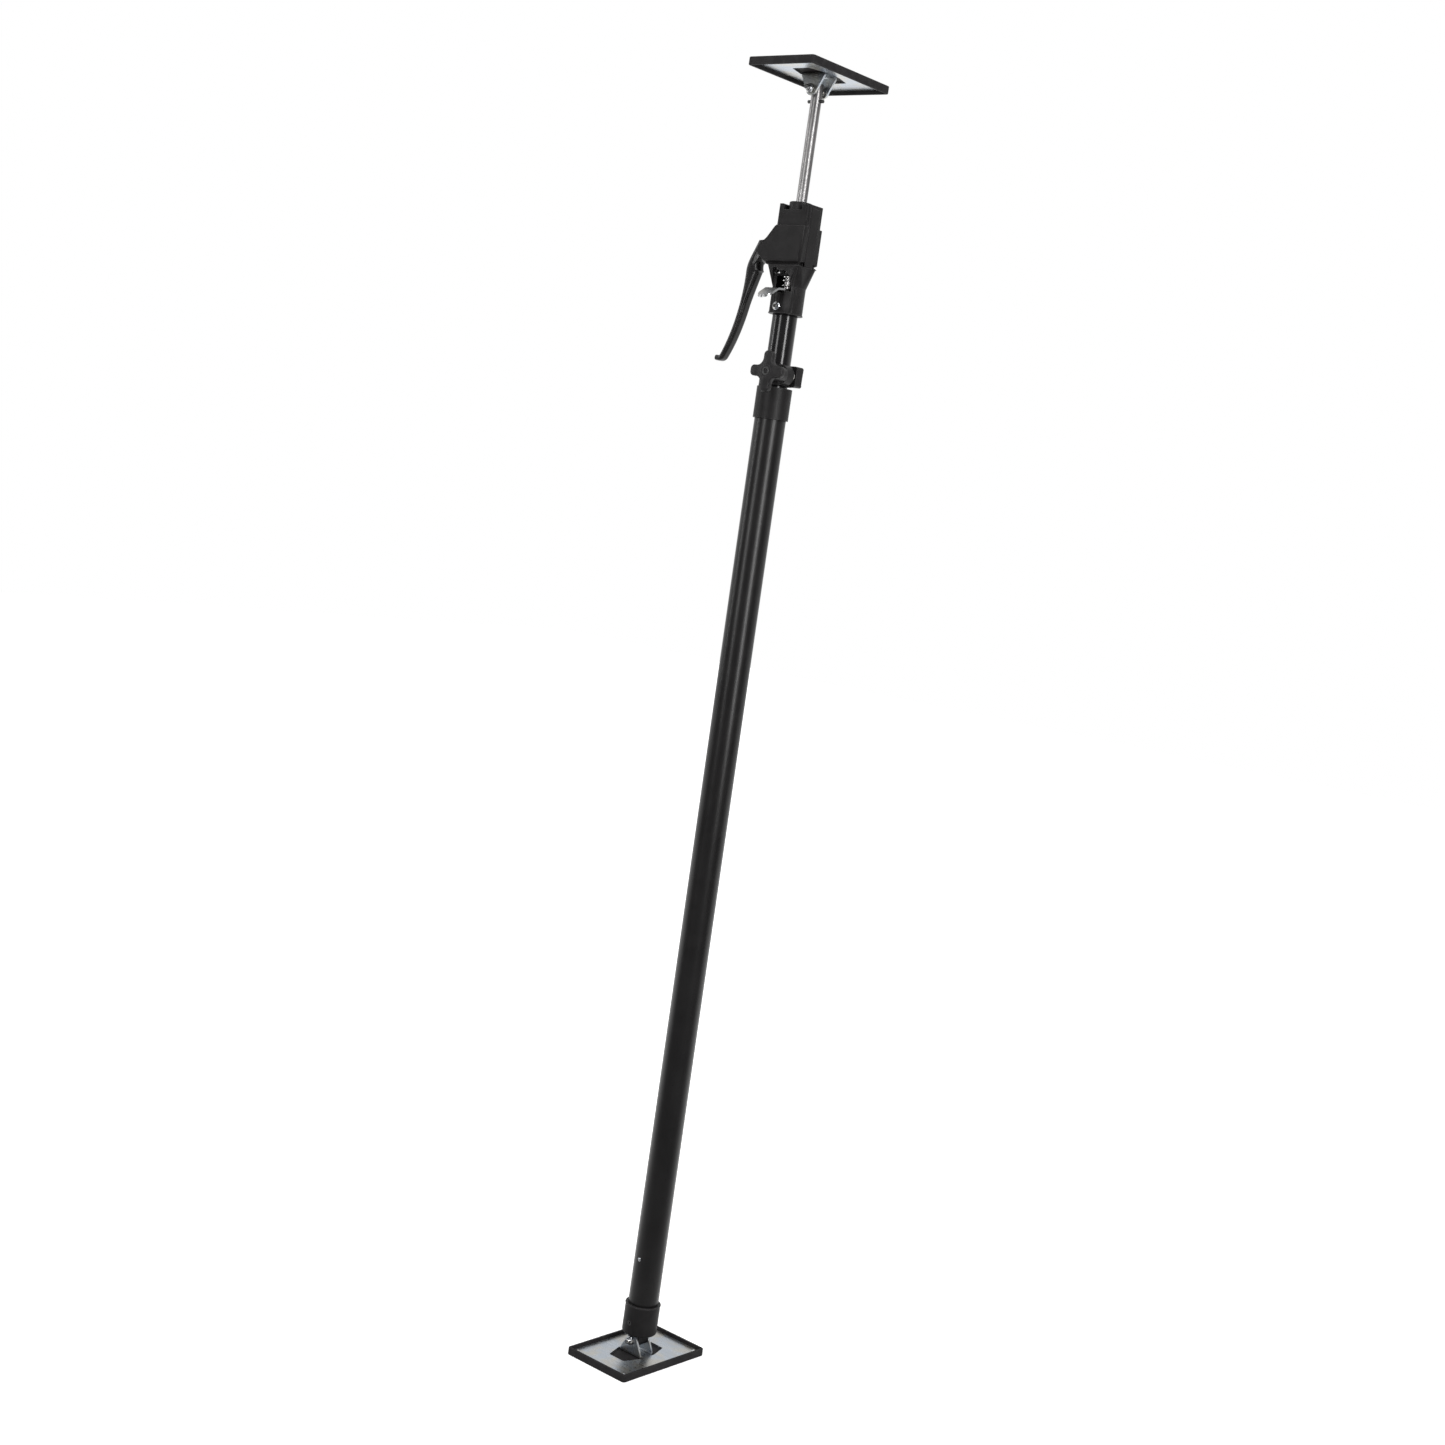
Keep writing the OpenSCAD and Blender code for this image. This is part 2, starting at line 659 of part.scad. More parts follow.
module clamp_bolt() {
    head_y = clamp_gap / 2 + clamp_ear_t - bolt_head_h;
    color("#9a9c9e") {
        along_y(head_y, clamp_bolt_x, ring_z + ring_h / 2) hexagon_bar(bolt_af, bolt_head_h);
        translate([clamp_bolt_x, head_y + skin, ring_z + ring_h / 2]) rotate([90, 0, 0])
            chamfered_bar(bolt_d, head_y + knob_face + insert_out, bolt_chamfer);
    }
}

module clamp_washer() {
    color("#d5d8da") along_y(-clamp_gap / 2, clamp_bolt_x, ring_z + ring_h / 2) difference() {
        cylinder(d = washer_d, h = washer_t);
        translate([0, 0, -overrun]) cylinder(d = bolt_d + 2 * fit_gap, h = washer_t + 2 * overrun);
    }
}

// Face of the four-armed star: arms with round corners and hollows between them
module knob_star() {
    s = knob_arm_w / 2 + knob_hollow_r;
    difference() {
        union() {
            square(2 * s, center = true);
            round_plan(-knob_reach, knob_reach, knob_arm_w, knob_arm_r);
            rotate(90) round_plan(-knob_reach, knob_reach, knob_arm_w, knob_arm_r);
        }
        for (a = [0 : 90 : 270]) rotate(a) translate([s, s]) circle(knob_hollow_r);
    }
}

module clamp_knob() {
    color("#2d2b2c") translate([clamp_bolt_x, 0, ring_z + ring_h / 2]) rotate([90, 0, 0]) difference() {
        union() {
            translate([0, 0, knob_back]) linear_extrude(knob_t) knob_star();
            translate([0, 0, knob_back - knob_hub_len]) cylinder(d = knob_hub_d, h = knob_hub_len + skin);
        }
        translate([0, 0, knob_back - knob_hub_len - overrun])
            cylinder(d = bolt_d + 2 * side_gap, h = knob_face);
        translate([0, 0, knob_face + insert_out - insert_len])
            cylinder(d = insert_d + 2 * seat_gap, h = insert_len);
    }
}

module knob_insert() {
    color("#b4b6b8") translate([clamp_bolt_x, -knob_face - insert_out, ring_z + ring_h / 2])
        rotate([-90, 0, 0]) difference() {
            cylinder(d = insert_d, h = insert_len);
            translate([0, 0, -overrun]) cylinder(d = bolt_d + 2 * fit_gap, h = insert_len + 2 * overrun);
        }
}

module inner_tube() {
    color("#353334") difference() {
        translate([0, 0, inner_tube_z]) tube(inner_tube_d, tube_wall, inner_tube_len);
        along_y(-inner_tube_d, 0, socket_z + socket_screw_h)
            cylinder(d = bolt_d + 2 * seat_gap, h = inner_tube_d);
    }
}

// Plastic bush that centres the inner tube's lower end in the outer tube
module inner_tube_bush() {
    color("#1f1f20") translate([0, 0, inner_tube_z - guide_bush_lip]) difference() {
        cylinder(d = outer_tube_d - 2 * tube_wall - 2 * fit_gap, h = guide_bush_h);
        translate([0, 0, guide_bush_lip]) cylinder(d = inner_tube_d + 2 * seat_gap, h = guide_bush_h);
        translate([0, 0, -overrun]) cylinder(d = inner_tube_d - 2 * tube_wall, h = guide_bush_h);
    }
}

// Side view of the housing's cheeks, as shares of their reach and of the body's height
cheek_shares = [[0.2, 1], [0.404, 1], [0.466, 0.967], [0.538, 0.873], [0.61, 0.779], [0.729, 0.658],
    [0.791, 0.612], [0.933, 0.596], [1, 0.41], [0.985, 0.31], [0.94, 0.25], [0.847, 0.194],
    [0.631, 0.02], [0.56, 0], [0.2, 0]];

// Side view of the lever's room between the cheeks, as shares of the same two sizes
room_top_shares = [[0.475, 0.83], [0.731, 0.57], [0.78, 0.56], [0.78, 1.2], [1.6, 1.2]];

module cheek_outline() {
    polygon([for (p = cheek_shares) [-p[0] * cheek_reach, body_z + p[1] * body_h]]);
}

module lever_room() {
    across(cavity_w) polygon(concat(
        [[-room_top_shares[4][0] * cheek_reach, cavity_z], [-drive_plate_front, cavity_z],
            [-drive_plate_front, drive_cavity_top]],
        [for (p = room_top_shares) [-p[0] * cheek_reach, body_z + p[1] * body_h]]));
}

// Outside of the housing, without its holes
module housing_shell() {
    translate([0, 0, socket_z]) cylinder(d = socket_d, h = socket_h);
    translate([0, 0, socket_z]) rotate_extrude() {
        square([socket_d / 2, 2 * socket_lip]);
        translate([socket_d / 2, socket_lip]) circle(socket_lip);
    }
    hull() {
        translate([0, 0, cone_z - skin]) cylinder(d = socket_d, h = skin);
        translate([0, 0, body_z - skin]) linear_extrude(skin)
            round_plan(-cone_front, body_back, body_w, 2 * body_edge_r, $fn = 32);
    }
    translate([0, 0, body_z - skin]) linear_extrude(body_h + skin)
        round_plan(-body_front, body_back, body_w, body_edge_r);
    across(body_w) cheek_outline();
    translate([0, 0, block_z - skin]) linear_extrude(block_h + skin)
        round_plan(-block_front, body_back, block_w, body_edge_r);
    translate([0, -spine_w / 2, body_z]) cube([body_back + spine_out, spine_w, body_h + block_h - body_edge_r]);
}

// Groove along both sides of the body and round its rear corners, up to the spine
module body_groove() {
    mid = body_z + groove_h / 2;
    for (s = [-1, 1]) {
        translate([0, s * body_w / 2, mid]) rotate([90, 0, 90])
            linear_extrude(4 * body_back, center = true)
                polygon([[-s * groove_depth, 0], [s * overrun, groove_h / 2 + overrun],
                    [s * overrun, -groove_h / 2 - overrun]]);
        translate([body_back, s * (spine_w / 2 + body_w), mid]) across(2 * body_w)
            polygon([[-groove_depth, 0], [overrun, groove_h / 2 + overrun],
                [overrun, -groove_h / 2 - overrun]]);
    }
}

// Window on the -Y side, with its round upper corner and the small relief over it
module release_window() {
    y = -body_w / 4;
    translate([0, y - cavity_w / 2, 0]) across(cavity_w) {
        translate([-window_front, window_z]) square([window_front + window_back - window_r, window_h]);
        translate([-window_front, window_z]) square([window_front + window_back, window_h - window_r]);
        translate([window_back - window_r, window_top - window_r]) circle(window_r);
        translate([-window_front + relief_in, window_top - skin]) square([relief_len, relief_h + skin]);
    }
}

// Room of the release plate behind the window, and the pocket that holds its heel
module release_room() {
    h = cavity_z - web_t - window_z;
    translate([0, 0, window_z]) intersection() {
        cylinder(d = room_d, h = h);
        translate([-socket_d, -socket_d, 0]) cube([2 * socket_d, socket_d + release_heel - heel_depth, h]);
    }
    play = 2 * side_gap;
    w = release_plate_w + 2 * side_gap;
    translate([-w / 2, 0, release_heel_z - release_plate_t / 2 - play])
        cube([w, release_heel + release_plate_t / 2 + side_gap, release_plate_t + 2 * play]);
}

module housing() {
    bore_d = rod_d + 2 * plate_hole_gap;
    room_z = cavity_z;
    room_h = drive_cavity_top - room_z;
    color("#2c2a2b") difference() {
        housing_shell();
        body_groove();
        translate([0, 0, socket_z - overrun])
            cylinder(d = inner_tube_d + 2 * seat_gap, h = tube_depth + overrun);
        translate([0, 0, socket_z]) cylinder(d = bore_d, h = block_top - socket_z + overrun);
        release_room();
        release_window();
        translate([-drive_plate_front - side_gap, -cavity_w / 2, room_z])
            cube([drive_plate_front + drive_plate_back + 2 * side_gap, cavity_w, room_h]);
        lever_room();
        translate([0, 0, room_z]) cylinder(d = spring_d + 2 * plate_hole_gap, h = guide_stem_z - room_z + skin);
        translate([0, 0, guide_stem_z]) cylinder(d = guide_stem_d + 2 * seat_gap, h = block_top - guide_stem_z);
        translate([-notch_len / 2, -body_w, block_top - notch_depth])
            cube([notch_len, 2 * body_w, notch_depth + overrun]);
        translate([0, 0, block_top - notch_depth]) cylinder(d = guide_d + 2 * seat_gap, h = notch_depth + overrun);
        along_y(-cavity_w / 2 - pin_blind, pin_x, pin_z)
            cylinder(d = pin_d + 2 * seat_gap, h = cavity_w / 2 + body_w);
        along_y(-socket_d, 0, socket_z + socket_screw_h) cylinder(d = bolt_d + 2 * seat_gap, h = socket_d);
    }
}

// Guide that closes the housing's top, carries the rod and takes the drive spring's push
module rod_guide() {
    color("#2f2d2e") difference() {
        union() {
            translate([0, 0, guide_stem_z]) cylinder(d = guide_stem_d, h = guide_stem_h + 2 * seat_gap);
            translate([0, 0, guide_top - guide_flange_h]) cylinder(d = guide_d, h = guide_flange_h - rod_chamfer);
            translate([0, 0, guide_top - rod_chamfer])
                cylinder(d1 = guide_d, d2 = guide_d - 2 * rod_chamfer, h = rod_chamfer);
        }
        translate([0, 0, guide_stem_z - overrun])
            cylinder(d = rod_d + 2 * fit_gap, h = guide_stem_h + guide_flange_h + 2 * overrun);
    }
}

// Round-headed key screw that fixes the inner tube in the socket
module socket_screw() {
    r = socket_d / 2;
    h = socket_screw_head_h;
    dome_r = (h * h + pow(socket_screw_head_d / 2, 2)) / (2 * h);
    color("#cdd0d2") along_y(-r - h, 0, socket_z + socket_screw_h) difference() {
        union() {
            intersection() {
                cylinder(d = 2 * socket_screw_head_d, h = h);
                translate([0, 0, dome_r]) sphere(r = dome_r);
            }
            translate([0, 0, h / 2]) cylinder(d = bolt_d, h = h / 2 + r - inner_tube_d / 2 + tube_wall);
        }
        translate([0, 0, -overrun]) hexagon_bar(socket_screw_key, overrun + socket_screw_key_depth);
    }
}

// Point at t on a cubic curve through its four control points
function cubic(p, t) = pow(1 - t, 3) * p[0] + 3 * t * pow(1 - t, 2) * p[1]
    + 3 * t * t * (1 - t) * p[2] + pow(t, 3) * p[3];

// The lever's middle line, as shares of its reach and drop from the pin: head, grip and curled tip
lever_head_shares = [[-0.2, 0.068], [-0.3, -0.045], [-0.422, -0.12], [-0.422, -0.2]];
lever_grip_shares = [[-0.422, -0.2], [-0.422, -0.46], [-0.57, -0.76], [-0.815, -0.975]];
lever_curl_shares = [[-0.815, -0.975], [-0.85, -1.005], [-0.9, -1.0], [-1, -0.995]];

function lever_line(shares, t) = let (p = cubic(shares, t))
    [pin_x + p[0] * lever_reach, pin_z + p[1] * lever_drop];

head_steps = 7;
grip_steps = 14;
curl_steps = 5;
lever_points = concat(
    [for (i = [0 : head_steps - 1]) lever_line(lever_head_shares, i / head_steps)],
    [for (i = [0 : grip_steps - 1]) lever_line(lever_grip_shares, i / grip_steps)],
    [for (i = [0 : curl_steps]) lever_line(lever_curl_shares, i / curl_steps)]);

// Unit direction of the lever's middle line at point i
function lever_heading(i) = let (
    a = lever_points[max(i - 1, 0)], b = lever_points[min(i + 1, len(lever_points) - 1)], d = b - a)
    d / norm(d);

section_sides = 16;
// Roundness of the section across the lever, and of its thickness: 1 is an ellipse, 0 a rectangle
lever_side_share = 0.5;
lever_back_share = 0.8;

function rounded(v, share) = sign(v) * pow(abs(v), share);

// One ring of the lever: its width and thickness fall evenly from the head to the tip
function lever_ring(i) = let (
    share = i / (len(lever_points) - 1),
    end = i == len(lever_points) - 1 ? 0.6 : 1,
    w = end * (lever_w + share * (lever_tip_w - lever_w)) / 2,
    t = end * (lever_t + share * (lever_tip_t - lever_t)) / 2,
    c = lever_points[i], h = lever_heading(i))
    [for (k = [0 : section_sides - 1]) let (
        a = 360 * (k + 0.5) / section_sides,
        y = -w * rounded(cos(a), lever_side_share),
        n = t * rounded(sin(a), lever_back_share))
        [c[0] + n * h[1], y, c[1] - n * h[0]]];

// Closed skin over rings of equal length
module ring_skin(rings) {
    n = len(rings[0]);
    last = len(rings) - 1;
    faces = concat(
        [for (i = [0 : last - 1], k = [0 : n - 1]) [i * n + k, (i + 1) * n + k, (i + 1) * n + (k + 1) % n]],
        [for (i = [0 : last - 1], k = [0 : n - 1]) [i * n + k, (i + 1) * n + (k + 1) % n, i * n + (k + 1) % n]],
        [for (k = [1 : n - 2]) [0, k, k + 1]],
        [for (k = [1 : n - 2]) [last * n, last * n + k + 1, last * n + k]]);
    polyhedron([for (r = rings, p = r) p], faces);
}

// Side view of the web between the boss, the grip and the toe, from the pin, as shares of the toe's reach
web_shares = [[-0.5, 0.55], [0, 0.35], [0.3, 0.1], [0.46, -0.35], [0.5, -0.8]];
web_grip_shares = [[-0.1, -0.55], [-0.48, -0.62], [-0.86, -0.8], [-1.1, -1.1], [-1.25, -0.9], [-0.8, 0.5]];

// Side view of the arm down to the toe, as shares of the toe's reach and drop, and the fork's start
toe_top_shares = [[0.45, 0.73], [0.55, 1], [1, 1]];
toe_under_shares = [[1, 1], [0.6, 1], [0.25, 0.6]];
fork_share = 0.7;

module squeeze_lever() {
    toe_drop = toe_z - pin_z;
    prong_in = rod_d / 2 + 2 * side_gap;
    w = cavity_w - 2 * side_gap;
    color("#2b292a") difference() {
        union() {
            ring_skin([for (i = [0 : len(lever_points) - 1]) lever_ring(i)]);
            translate([pin_x, 0, pin_z]) across(lever_w) polygon([for (p = concat(web_shares, web_grip_shares))
                toe_reach * p]);
            translate([pin_x, 0, pin_z]) across(w) {
                circle(boss_r);
                polygon(concat([[-boss_r / 2, 0], [boss_r, 0]],
                    [for (p = toe_top_shares) [p[0] * toe_reach, p[1] * toe_drop + toe_r]],
                    [for (p = toe_under_shares) [p[0] * toe_reach, p[1] * toe_drop - toe_r]]));
                translate([toe_reach, toe_drop]) circle(toe_r);
            }
        }
        along_y(-body_w, pin_x, pin_z) cylinder(d = pin_d + 2 * fit_gap, h = 2 * body_w);
        translate([pin_x + fork_share * toe_reach, -prong_in, pin_z + 2 * toe_drop])
            cube([toe_reach, 2 * prong_in, -2 * toe_drop]);
    }
}

module lever_pin() {
    from = cavity_w / 2 + pin_blind - seat_gap;
    color("#8d8f91") along_y(-from, pin_x, pin_z) cylinder(d = pin_d, h = from + body_w / 2 - seat_gap);
}

module drive_plate() {
    color("#a9adb0") translate([0, 0, drive_plate_z]) difference() {
        linear_extrude(drive_plate_t) round_plan(-drive_plate_front, drive_plate_back, drive_plate_w, body_edge_r);
        translate([0, 0, -overrun]) cylinder(d = rod_d + 2 * plate_hole_gap, h = drive_plate_t + 2 * overrun);
    }
}

// Corner i of the release plate's bend, on the face that lies at radius r from the bend's centre
bend_steps = 6;
function bend_point(r, i) = let (a = tab_bend * i / bend_steps)
    [-release_flat - r * sin(a), r * cos(a) - tab_bend_r - release_plate_t / 2];

// Side view of the release plate from its round heel, in y and z, flat and then bent down to the tab
module release_profile() {
    t = release_plate_t;
    along_tab = -tab_len * [cos(tab_bend), sin(tab_bend)];
    circle(d = t);
    polygon(concat(
        [[0, t / 2]], [for (i = [0 : bend_steps]) bend_point(tab_bend_r + t, i)],
        [bend_point(tab_bend_r + t, bend_steps) + along_tab, bend_point(tab_bend_r, bend_steps) + along_tab],
        [for (i = [bend_steps : -1 : 0]) bend_point(tab_bend_r, i)], [[0, -t / 2]]));
}

module release_plate() {
    hole_y = -release_heel / cos(release_tilt);
    tip = release_flat + tab_len;
    color("#b5b9ba") translate([0, release_heel, release_heel_z]) rotate([release_tilt, 0, 0])
        difference() {
            intersection() {
                rotate([90, 0, 90]) linear_extrude(2 * release_plate_w, center = true) release_profile();
                translate([0, 0, -tip]) linear_extrude(2 * tip) {
                    r = release_plate_w / 2;
                    reach = release_flat + tab_len * cos(tab_bend);
                    translate([-r, -reach + r]) square([2 * r, reach]);
                    translate([0, -reach + r]) circle(r);
                }
            }
            translate([0, hole_y, -tip]) cylinder(d = rod_d + 2 * plate_hole_gap, h = 2 * tip);
        }
}

// Compression spring as one tube along a helix, from z0 up to z1, with straight ends one wire long
spring_r = (spring_d - spring_wire) / 2;
rings_per_turn = 8;
wire_sides = 6;

function helix_point(turns, z0, z1, i) = let (
    n = turns * rings_per_turn,
    k = min(max(i - 1, 0), n),
    a = 360 * k / rings_per_turn,
    z = z0 + spring_wire / 2 + (z1 - z0 - spring_wire) * k / n,
    tail = i == 0 ? -spring_wire : i == n + 2 ? spring_wire : 0)
    [spring_r * cos(a) - tail * sin(a), spring_r * sin(a) + tail * cos(a), z];

function wire_ring(turns, z0, z1, i) = let (
    n = turns * rings_per_turn + 2,
    c = helix_point(turns, z0, z1, i),
    d = helix_point(turns, z0, z1, min(i + 1, n)) - helix_point(turns, z0, z1, max(i - 1, 0)),
    ahead = d / norm(d),
    out = let (v = [c[0], c[1], 0], o = v - (v * ahead) * ahead) o / norm(o),
    up = cross(ahead, out))
    [for (k = [0 : wire_sides - 1]) let (a = 360 * k / wire_sides)
        c + spring_wire / 2 * (cos(a) * out + sin(a) * up)];

module spring(turns, z0, z1) {
    n = turns * rings_per_turn + 2;
    color("#c4c8ca") ring_skin([for (i = [0 : n]) wire_ring(turns, z0, z1, i)]);
}

// Least gap between a spring's neighbouring turns, measured on the helix points
function turn_gap(turns, z0, z1) = min([for (i = [1 : (turns - 1) * rings_per_turn])
    norm(helix_point(turns, z0, z1, i + rings_per_turn) - helix_point(turns, z0, z1, i))]) - spring_wire;

release_spring_z = release_heel_z - release_heel * tan(release_tilt) + release_plate_t / 2 + side_gap
    + spring_r * tan(release_tilt);
release_spring_top = cavity_z - web_t - side_gap;
drive_spring_z = drive_plate_z + drive_plate_t + side_gap;
drive_spring_top = guide_stem_z - side_gap;

module release_spring() { spring(release_turns, release_spring_z, release_spring_top); }
module drive_spring() { spring(drive_turns, drive_spring_z, drive_spring_top); }

// The rod's lower cross pin meets the tube seat's web after the rise that is left
end_pin_z = tube_seat_z - side_gap - rod_rise - cross_pin_d / 2;
rod_z = end_pin_z - rod_d / 2;
stop_pin_z = top_hinge_z - stop_pin_drop;

module lift_rod() {
    len = top_hinge_z + rod_over_bolt - rod_z;
    color("#d7d9da") difference() {
        translate([0, 0, rod_z]) {
            cylinder(d1 = rod_d - 2 * rod_chamfer, d2 = rod_d, h = rod_chamfer);
            translate([0, 0, rod_chamfer]) chamfered_bar(rod_d, len - rod_chamfer, rod_chamfer);
        }
        along_y(-rod_d, 0, top_hinge_z) cylinder(d = bolt_d + 2 * fit_gap, h = 2 * rod_d);
        for (z = [end_pin_z, stop_pin_z]) translate([-rod_d, 0, z]) rotate([0, 90, 0])
            cylinder(d = cross_pin_d + 2 * seat_gap, h = 2 * rod_d);
    }
}

module cross_pin(len, z) {
    translate([-len / 2, 0, z]) rotate([0, 90, 0]) cylinder(d = cross_pin_d, h = len);
}

module rod_stop_pin() { color("#232122") cross_pin(stop_pin_len, stop_pin_z); }
module rod_end_pin() { color("#7f8183") cross_pin(end_pin_len, end_pin_z); }

echo(total_height = top_z, tube_overlap = outer_tube_top - inner_tube_z, toe_lift = toe_lift,
    release_gap = turn_gap(release_turns, release_spring_z, release_spring_top),
    drive_gap = turn_gap(drive_turns, drive_spring_z, drive_spring_top));
echo(hinge = hinge_h, top_hinge = top_hinge_z, pin = [pin_x, pin_z], heel = [release_heel, release_heel_z],
    knob = [clamp_bolt_x, ring_z + ring_h / 2], plate = drive_plate_z, web = cavity_z,
    stop = outer_tube_z + stop_rivet_h, bush = inner_tube_z - guide_bush_lip, socket = socket_z,
    seat = tube_seat_z, body = body_z, block = block_top, stop_pin = stop_pin_z, guide = guide_top);

foot_rubber_pad();
foot_plate();
foot_plate_rivets();
foot_bolt();
foot_nut();
base_collar();
base_set_screw();
outer_tube();
stop_rivet();
clamp_collar();
clamp_bolt();
clamp_washer();
clamp_knob();
knob_insert();
inner_tube();
inner_tube_bush();
housing();
rod_guide();
socket_screw();
squeeze_lever();
lever_pin();
drive_plate();
drive_spring();
release_plate();
release_spring();
lift_rod();
rod_stop_pin();
rod_end_pin();
top_plate();
top_rubber_pad();
top_plate_rivets();
top_bolt();
top_nut();
top_spacers();
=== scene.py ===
"""Looks of a telescopic support pole with a squeeze-lever jacking head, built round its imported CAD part.

Sizes in the classes are millimetres, as in the part's source. Assembly.make turns them into metres once, when
a mesh is made. The floor is z = 0, the pole's axis is +Z, the lever points to -X and the thumb tab to -Y.
"""

import logging
from dataclasses import dataclass
from enum import Enum
from typing import Sequence

import bmesh
import bpy
import numpy as np
from mathutils import Matrix, Vector


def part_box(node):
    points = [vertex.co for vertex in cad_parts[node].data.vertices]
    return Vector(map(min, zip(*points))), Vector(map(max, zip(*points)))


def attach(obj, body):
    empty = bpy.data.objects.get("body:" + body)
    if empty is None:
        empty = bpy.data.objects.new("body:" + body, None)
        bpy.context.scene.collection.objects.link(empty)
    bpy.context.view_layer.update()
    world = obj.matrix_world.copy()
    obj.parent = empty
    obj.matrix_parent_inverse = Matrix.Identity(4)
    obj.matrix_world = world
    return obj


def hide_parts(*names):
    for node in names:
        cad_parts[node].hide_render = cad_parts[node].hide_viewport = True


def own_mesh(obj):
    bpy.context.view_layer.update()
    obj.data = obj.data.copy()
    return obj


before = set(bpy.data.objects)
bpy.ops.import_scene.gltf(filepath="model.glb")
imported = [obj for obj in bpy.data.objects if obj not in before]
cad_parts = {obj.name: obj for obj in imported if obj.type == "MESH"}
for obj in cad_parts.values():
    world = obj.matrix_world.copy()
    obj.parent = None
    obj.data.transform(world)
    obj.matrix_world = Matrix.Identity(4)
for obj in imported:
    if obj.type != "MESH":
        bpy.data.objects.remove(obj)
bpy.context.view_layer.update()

log = logging.getLogger("support_pole")
MM = 0.001
TURN = 2 * np.pi
X, Y, Z = range(3)

Triple = tuple[float, float, float]
Profile = tuple[tuple[float, float], ...]
Radii = float | Sequence[float]
Socket = bpy.types.NodeSocket
Value = float | tuple | Socket


class Lay(Enum):
    """Which way a shape's own length points in the part's frame."""

    UP = ((1, 0, 0), (0, 1, 0), (0, 0, 1))
    FRONT = ((1, 0, 0), (0, 0, -1), (0, 1, 0))
    BACK = ((1, 0, 0), (0, 0, 1), (0, -1, 0))
    SIDE = ((0, 0, 1), (0, 1, 0), (-1, 0, 0))


class Slot(Enum):
    """Material slots of the part's record."""

    RUBBER_PAD = "rubber_pad"
    ZINC_PLATE = "zinc_plate"
    ZINC_FASTENER = "zinc_fastener"
    BLACK_CASTING = "black_casting"
    BLACK_LEVER = "black_lever"
    BLACK_TUBE = "black_tube"
    BLACK_KNOB = "black_knob"
    BLACK_BUSH = "black_bush"
    STEEL_PLATE = "steel_plate"
    SPRING_WIRE = "spring_wire"
    BRIGHT_ROD = "bright_rod"
    BLACK_PIN = "black_pin"


class Body(Enum):
    """Moving bodies of the part."""

    FOOT = "foot"
    POLE = "pole"
    KNOB = "knob"
    HEAD = "head"
    LEVER = "lever"
    DRIVE = "drive"
    RELEASE = "release"
    ROD = "rod"
    TOP = "top"


@dataclass(frozen=True)
class Finish:
    """One surface finish, as numbers for the shared node groups.

    Grain and blotch are noise scales, in cells per metre: fine relief, and soft changes from colour to tint
    over centimetres. Gloss is the roughness of the lowest and highest relief. Streaks say how far lines that
    run one way darken the colour; on the bright rod those dark lines are painted reflections. The edge
    highlight says how strongly a painted highlight in its own colour lies along sharp edges.
    """

    colour: Triple
    tint: Triple
    metallic: float = 0.0
    gloss: tuple[float, float] = (0.4, 0.55)
    specular: float = 0.5
    grain: float = 900.0
    relief: float = 0.05
    blotch: float = 40.0
    streak_stretch: Triple = (0.0, 0.0, 0.0)
    streaks: float = 0.0
    streak_and_reflection_shade: float = 0.72
    rubbed: float = 0.0
    painted_edge_highlight_colour: Triple = (0.12, 0.12, 0.12)


